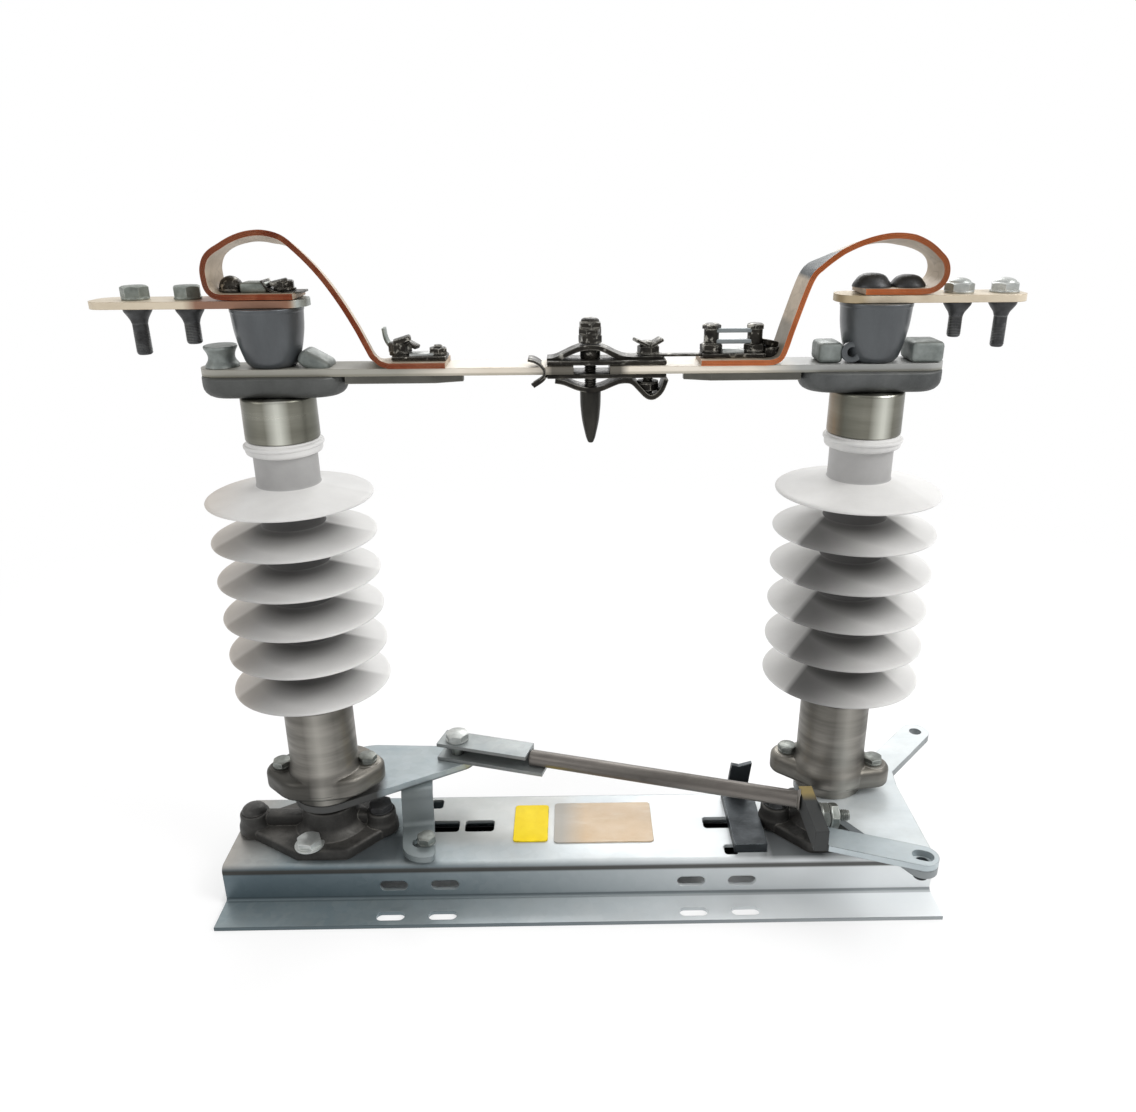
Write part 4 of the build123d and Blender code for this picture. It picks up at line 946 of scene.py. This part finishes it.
# %% Bolts of the columns and housings
spool = [(0, 0), (10.9, 0), (10.6, 1.6), (8.2, 5.0), (8.6, 9.0), (10.7, 12.6), (10.4, 14.0), (0, 14.0)]
cover = [(0, 0), (9.8, 0), (9.4, 2.6), (6.4, 5.2), (0, 6.2)]
for side, (x, sign) in SIDES.items():
    piece = bmesh.new()
    lean = radians(FLANGE[side][0])
    for reach, turn in ((-EAR, 12), (EAR, 43)):
        screw(piece, x + reach * cos(lean), reach * sin(lean), 98.6, 13.0, 5.3, turn)
    outer, inner = at(x + 34.0 * sign, 0, 411.1), at(x - 30.0 * sign, 0, 411.1)
    if side == "left":
        oval = Matrix.Diagonal((1.0, 1.2, 1.0, 1.0))
        lathe(piece, spool, [0.5, 0.8, 2.5, 2.5, 0.8, 0.6], 4, 48, outer @ oval, face=1)
        add(piece, block, (22.0, 24.0, 11.0), 4.6, 4, at=inner @ at(-1.0, 0, 2.6) @ tipped(30), face=1)
    else:
        for place, wide, deep, high in ((outer, 21.5, 26.0, 13.6), (inner, 16.0, 24.0, 13.2)):
            add(piece, block, (wide, deep, high), 3.0, 3, at=place @ at(0, 0, high / 2), face=1)
    complete(f"{side}_column_screws", piece, "zinc_bolts cast_lugs", f"{side}_column",
             f"{side}_column_bolts")
    piece = bmesh.new()
    screw(piece, x - NEAR_EAR * sign, 0, 54.0, 17.0, 6.4, turn=20)
    if side == "right":
        screw(piece, x + FAR_EAR[side], 0, 54.0, 17.0, 6.4, turn=5)
    else:
        lathe(piece, cover, [0.5, 1.6, 2.4], 4, 40, at(x - FAR_EAR[side], 0, 54.0), face=2)
    add(piece, disc, 11.4, 1.6, 0.6, at=at(x + 11.0 * sign, -30.5, 43.0), face=1)
    add(piece, hexagon, 17.0, 5.4, at=at(x + 11.0 * sign, -30.5, 44.5, 22.0), face=1)
    complete(f"{side}_housing_screws", piece, "shank_steel pale_bolts cast_iron_grey", "base",
             f"{side}_housing_bolts")

# %% Bolts of the terminals
# Each side's two holes, the width of its shanks and the finish of its bolts.
TERMINAL = {"left": ((50.0, 84.0), 4.9, "green_bolts"), "right": ((53.5, 83.5), 4.3, "pale_bolts")}
# How far down the two shanks reach; the outer one is longer.
TIPS = (426.2, 419.4)
for side, (x, sign) in SIDES.items():
    holes, core, metal = TERMINAL[side]
    piece = bmesh.new()
    for index, (reach, tip) in enumerate(zip(holes, TIPS)):
        place_x = x + sign * reach
        if side == "right":
            add(piece, disc, 9.4, WASHER, 0.5, at=at(place_x, 0, 454.8))
            add(piece, hexagon, 16.4, 5.2, at=at(place_x, 0, 456.0, 17 + 23 * index))
            dome = [(0, 0), (7.4, 0), (6.6, 2.2), (3.6, 3.6), (0, 4.0)]
            lathe(piece, dome, [0.3, 1.6, 1.6], 4, 40, at(place_x, 0, 460.2))
        else:
            screw(piece, place_x, 0, 454.8, 15.6, 8.6, turn=17 + 23 * index)
        collar = [(0, 449.8), (9.2, 449.8), (8.9, 447.4), (7.2, 444.8), (core + 0.7, 442.0), (core, 439.0),
                  (0, 439.0)]
        lathe(piece, collar, [0.5, 0.8, 1.5, 1.5, 1.0], 3, 40, at(place_x, 0, 0), face=1)
        shank = [(0, tip), (core - 0.9, tip), (core, tip + 1.4), (core, 440.0), (0, 440.0)]
        lathe(piece, shank, [0.4, 0.8, 0.2], 3, 32, at(place_x, 0, 0), face=1)
        add(piece, thread, core + 0.25, 15.0, pitch=1.0, at=at(place_x, 0, tip + 0.8), face=1)
    complete(f"{side}_terminal_screws", piece, f"{metal} shank_steel", f"{side}_terminal",
             f"{side}_terminal_bolts")

# %% [markdown]
# ## Copper strips
# Each strip is a stack of thin foils, so that it can flex while the post turns under the terminal. One thick bar
# would look right from afar, but the foils show as fine lines along the edge. A foil is an edge extruded from point
# to point along a smooth curve and then given its thickness. The finished strip is fixed where it stands; it is not
# joined to the terminal or to the column.

# %% Strips
# The middle of the foils on the terminal and on the blade.
FOOT, LANDING = 457.3, 413.35
LEFT_RUN = [
    (-178.0, FOOT), (-200.0, FOOT), (-221.0, FOOT), (-227.6, 458.3), (-231.4, 462.0), (-232.7, 468.0),
    (-232.4, 475.6), (-228.6, 483.0), (-219.4, 488.8), (-207.0, 492.9), (-195.4, 493.4), (-183.6, 490.8),
    (-175.4, 484.0), (-166.8, 475.0), (-158.8, 464.8), (-149.8, 450.6), (-142.0, 436.0), (-136.4, 423.8),
    (-132.6, 416.6), (-127.0, 413.6), (-119.0, LANDING), (-100.0, LANDING), (-84.0, LANDING),
]
RIGHT_RUN = [
    (187.5, FOOT), (205.0, FOOT), (224.0, FOOT), (231.0, 458.4), (236.2, 462.4), (238.4, 468.6),
    (236.8, 475.6), (231.8, 480.8), (223.4, 485.6), (212.6, 488.8), (201.0, 489.4), (189.0, 487.2),
    (177.6, 483.0), (165.0, 476.4), (156.4, 471.0), (152.8, 466.2), (149.2, 456.8), (145.4, 444.8),
    (141.6, 432.4), (138.4, 421.4), (135.6, 415.8), (130.0, 413.5), (120.0, LANDING), (84.0, LANDING),
]
# The curve of each side, where its bending starts and ends in metres, the lean of its twist in degrees, and the
# shares of its length where the lean starts, how long it grows and where it stops.
RUNS = {
    "left": (LEFT_RUN, (-0.174, 0, 0.48), (-0.132, 0, 0.418), 12.0, 0.36, 0.1, 0.9),
    "right": (RIGHT_RUN, (0.172, 0, 0.482), (0.136, 0, 0.417), -8.0, 0.3, 0.08, 0.6),
}
FOILS, FOIL_STEP, FOIL_THICKNESS = 8, 0.45, 0.4
for side, (run, bend_start, bend_end, lean, start, growth, stop) in RUNS.items():
    line = smooth_line(run, 5)
    piece = bmesh.new()

    def twist(share, lean=lean, start=start, growth=growth, stop=stop):
        """The lean of a foil at a share of its length, none at both ends."""
        grown = max(0.0, min(1.0, (share - start) / growth))
        return -lean * grown * max(0.0, min(1.0, (stop - share) / 0.06))

    for foil in range(FOILS):
        lift = (foil - (FOILS - 1) / 2) * FOIL_STEP
        wide = 31.6 + 0.5 * (-1) ** foil
        add(piece, ribbon, line, wide, FOIL_THICKNESS, lift=lift, twist=twist, at=at(0, 0, -FOIL_STEP))
    # The broad faces of the outer foils are tinned and look tan; everything else shows copper edges.
    for face in piece.faces:
        if abs(face.normal.y) < 0.6 and face.calc_area() > 12.0:
            face.material_index = 1
    complete(f"{side}_foil_strip", piece, "bare_copper tinned_strip_face", f"{side}_terminal",
             f"{side}_strip", bend=(f"{side}_column", Vector(bend_start), Vector(bend_end)))

# %% [markdown]
# ## Contact and clamps
# In the middle two flat fingers and two bowed springs squeeze the tip of the left blade. A long stud with
# stacked nuts holds them, and its lower end is drawn out to a smooth horn. The springs are ribbons along smooth
# lines; nuts and washers are stacked as on the real stud.

# %% Centre contact
piece = bmesh.new()
for height in (412.85, 404.2):
    add(piece, block, (79.0, 25.6, 2.9), 0.7, 2, at=at(22.0, 0, height))
complete("contact_jaws", piece, "contact_steel", "right_column", "contact_fingers")

piece = bmesh.new()
upper_bow = [(-17.6, 415.4), (-13.0, 415.9), (-7.0, 418.4), (-1.0, 421.2), (5.0, 423.2), (11.3, 423.9),
             (17.6, 423.3), (23.0, 421.2), (28.6, 418.4), (34.0, 416.4), (42.0, 416.0), (52.0, 416.6),
             (60.0, 416.0)]
lower_bow = [(-12.0, 402.0), (-6.0, 400.8), (-1.0, 398.8), (4.0, 396.9), (11.3, 395.7), (18.0, 396.6),
             (24.0, 399.0), (30.0, 401.2), (37.0, 401.6), (41.0, 400.0), (46.0, 395.0), (50.4, 390.8),
             (53.6, 390.6), (57.6, 394.4), (60.4, 401.4)]
for line in (upper_bow, lower_bow):
    add(piece, ribbon, smooth_line(line, 4), 16.0, 3.2)
claw = [(-29.6, 417.0), (-25.4, 416.0), (-21.0, 413.2), (-18.4, 409.4), (-18.6, 405.6), (-21.6, 402.6),
        (-27.0, 399.2)]
add(piece, ribbon, smooth_line(claw, 5), 3.0, 1.7, narrowed=True, at=at(0, -17.2, 0))
add(piece, ribbon, smooth_line(claw[4:], 5), 15.0, 1.8, narrowed=True, at=at(0, -9.0, 0))
add(piece, ribbon, smooth_line(claw[:3], 5), 14.0, 1.4, narrowed=True, at=at(0, -8.0, 0))
complete("bowed_springs", piece, "contact_steel", "right_column", "bow_springs")

piece = bmesh.new()
STUD, SECOND_STUD = 11.3, 50.0
horn = [(0, 356.2), (1.7, 356.4), (3.1, 359.6), (5.9, 371.6), (7.0, 383.0), (7.1, 392.6), (5.6, 394.4), (0, 394.4)]
lathe(piece, horn, [0.8, 1.6, 5.0, 3.0, 1.2, 1.0], 4, 48, at(STUD, 0, 0), face=1)
add(piece, thread, 4.2, 28.0, pitch=1.4, at=at(STUD, 0, 391.0))
spacer = [(0, 414.4), (6.6, 414.4), (6.9, 418.0), (5.9, 421.8), (0, 421.8)]
lathe(piece, spacer, [0.6, 1.2, 0.8], 3, 40, at(STUD, 0, 0))
stack(piece, STUD, 0.56, 1.0, 0.5, ((424.9, 13.6, 5.0, 20), (430.0, 13.2, 4.0, 41), (434.1, 13.4, 4.2, 5)))
button = [(0, 437.6), (6.2, 437.6), (6.0, 439.4), (4.2, 440.6), (0, 440.8)]
lathe(piece, button, [0.6, 0.8, 1.0], 3, 32, at(STUD, 0, 0))
stack(piece, SECOND_STUD, 0.6, 1.1, 1.0, ((417.9, 13.0, 4.6, 12), (422.4, 9.6, 2.8, 33)))
for px, tilt in ((45.0, 24.0), (54.6, -28.0)):
    add(piece, block, (9.6, 11.0, 2.4), 0.8, 2, at=at(px, -2.0, 424.6, 12) @ tipped(tilt))
add(piece, thread, 3.6, 33.0, pitch=1.25, at=at(SECOND_STUD, 0, 390.5))
add(piece, block, (42.0, 6.0, 1.6), 0.5, 2, at=at(73.0, -3.0, 416.4))
down = tipped(180, "X")
add(piece, disc, 7.28, WASHER, at=at(SECOND_STUD, 0, 398.95) @ down)
add(piece, hexagon, 13.0, 5.0, at=at(SECOND_STUD, 0, 397.6, 12) @ down)
complete("contact_hardware", piece, "contact_steel horn_steel", "right_column", "contact_bolts")

# %% Clamps on the strips
piece = bmesh.new()
add(piece, block, (36.0, 17.8, 2.8), 0.7, 2, at=at(-102.0, 0, 416.2))
add(piece, disc, 7.4, 3.0, 0.8, at=at(-115.0, 0, 417.4))
add(piece, hexagon, 13.4, 6.4, at=at(-115.0, 0, 419.6, 35))
add(piece, block, (12.0, 9.0, 3.4), 1.1, 2, at=at(-113.0, -2.0, 427.6, 10) @ tipped(-16))
add(piece, block, (9.0, 7.0, 3.0), 1.0, 2, at=at(-107.0, 1.0, 424.2, -20) @ tipped(24))
screw(piece, -90.0, 0, 417.7, 11.0, 4.6, turn=10, end=1.6)
add(piece, block, (16.0, 12.0, 2.0), 0.7, 2, at=at(-101.0, -1.0, 418.2, 8), face=1)
leaf = [(-112.0, 418.6), (-118.4, 419.2), (-123.4, 421.8), (-126.4, 427.0), (-127.4, 434.0)]
add(piece, ribbon, smooth_line(leaf, 4), 9.0, 1.6, narrowed=True, at=at(0, 9.0, 0), face=2)
complete("left_clamp_set", piece, "contact_steel pale_bolts green_bolts", "left_column",
         "left_strip_clamp")
piece = bmesh.new()
add(piece, block, (42.0, 17.8, 2.8), 0.7, 2, at=at(106.5, 0, 416.2))
for px, turn in ((92.0, 14), (121.0, 40)):
    screw(piece, px, 0, 417.7, 13.0, 5.6, turn=turn)
    add(piece, disc, 5.0, 13.6, 0.8, at=at(px, 0, 422.6))
    add(piece, hexagon, 10.8, 3.0, at=at(px, 0, 432.8, turn + 11))
add(piece, block, (15.0, 10.0, 3.6), 1.2, 2, at=at(105.5, -2.0, 418.6, 6), face=1)
screw(piece, 132.0, 0, 414.8, 12.6, 6.4, turn=20)
add(piece, block, (10.0, 10.0, 4.0), 1.2, 2, at=at(130.5, 0, 423.4, 25) @ tipped(14))
complete("right_clamp_set", piece, "contact_steel pale_bolts", "right_column",
         "right_strip_clamp")
piece = bmesh.new()
for rise in (424.8, 432.0):
    add(piece, block, (26.0, 4.0, 3.0), 0.8, 2, at=at(106.5, -2.0, rise))
# The ties take the paler zinc of painted light.
complete("right_clamp_ties", piece, "bright_zinc", "right_column")

# %% [markdown]
# ## Screws on the terminals
# Where the strip's foot lies on the terminal, two screws go down into the post. They are half hidden by the loop,
# but their dark domes show at the right and a bent lock plate shows at the left.

# %% Foot screws
piece = bmesh.new()
add(piece, disc, 8.4, 2.0, 0.7, at=at(-221.0, 0, 458.7))
dome = [(0, 0), (7.6, 0), (7.6, 2.8), (6.2, 6.4), (2.6, 8.6), (0, 9.0)]
lathe(piece, dome, [0.5, 1.0, 2.2, 2.0], 4, 40, at(-221.0, 0, 460.2))
add(piece, block, (17.0, 16.0, 6.6), 1.8, 3, at=at(-205.0, 0, 462.0), face=1)
complete("left_foot_screws", piece, "contact_steel green_bolts", "left_terminal")
piece = bmesh.new()
add(piece, disc, 7.2, 1.6, 0.6, at=at(-186.5, 0, 459.8))
add(piece, hexagon, 12.4, 4.8, at=at(-187.0, 0, 461.2, 11))
add(piece, block, (12.0, 8.0, 3.0), 1.0, 2, at=at(-190.0, -1.0, 464.8, 15) @ tipped(-12))
tab = [(-174.0, 459.6), (-184.0, 459.4), (-191.0, 459.9), (-196.0, 462.6), (-198.6, 466.8)]
add(piece, ribbon, smooth_line(tab, 4), 17.0, 1.3)
complete("left_lock_plate", piece, "contact_steel", "left_terminal")
piece = bmesh.new()
for px, wide, high in ((195.5, 12.6, 8.6), (219.0, 11.6, 7.6)):
    dome = [(0, 0), (wide, 0), (wide - 0.3, 1.8), (wide * 0.66, high - 1.2), (wide * 0.3, high), (0, high)]
    lathe(piece, dome, [0.5, 1.4, 2.6, 1.0], 4, 48, at(px, 0, 458.75))
complete("right_foot_screws", piece, "shank_steel", "right_terminal")

# %% [markdown]
# ## The link
# A rod joins the two lever plates. Its channel end sits on the left pin and its cross plate carries an adjusting
# screw. The rod is drawn steel, so it is made new and round, while the channel, cross plate and levers stay CAD.

# %% Rod, pins and adjuster
LEVER, LEVER_TURN = 108.0, radians(23.5)
left_pin = Vector((SIDES["left"][0] + LEVER * cos(LEVER_TURN), LEVER * sin(LEVER_TURN)))
rod_end = Vector((169.0, -38.0))
rod_angle = atan2(rod_end.y - left_pin.y, rod_end.x - left_pin.x)
rod_height, rod_radius = 84.8, 6.5
screw_x, screw_y = 179.0, -58.0
rod_place = at(left_pin.x, left_pin.y, rod_height) @ Matrix.Rotation(rod_angle, 4, "Z") @ tipped(90)
rod_length = (rod_end - left_pin).length + 0.4
piece = bmesh.new()
bar = [(0, 64.5), (rod_radius - 1.1, 64.5), (rod_radius, 65.6), (rod_radius, rod_length), (0, rod_length)]
lathe(piece, bar, [0.4, 0.5, 0.2], 3, 64, rod_place)
weld = [(6.0, rod_length - 2.6), (7.6, rod_length - 1.6), (8.4, rod_length), (6.0, rod_length)]
lathe(piece, weld + weld[:1], 0.6, 3, 64, rod_place)
complete("drawn_rod", piece, "rod_steel", "link", "link_rod")

piece = bmesh.new()
px, py = left_pin
screw(piece, px, py, rod_height + 6.55, 16.8, 6.4, turn=24, face=1)
add(piece, disc, 5.0, 30.0, 0.5, at=at(px, py, 65.2))
adjuster = at(screw_x, screw_y, rod_height) @ tipped(90)
add(piece, disc, 9.6, 1.6, at=adjuster)
add(piece, hexagon, 16.8, 5.2, at=adjuster @ at(0, 0, 1.6) @ Matrix.Rotation(0.2, 4, "Z"))
add(piece, disc, 9.0, 1.3, at=adjuster @ at(0, 0, 6.9))
add(piece, hexagon, 16.4, 5.6, at=adjuster @ at(0, 0, 8.2) @ Matrix.Rotation(0.7, 4, "Z"))
add(piece, thread, 4.3, 11.0, pitch=1.4, at=adjuster @ at(0, 0, 11.0))
complete("link_screws", piece, "zinc_bolts pale_bolts", "link", "link_pins")

# %% Stop screw in the slotted foot of the left lever
piece = bmesh.new()
screw(piece, -119.5, -29.8, 44.1, 13.0, 6.4, turn=18)
complete("stop_screw", piece, "zinc_bolts", "left_column")
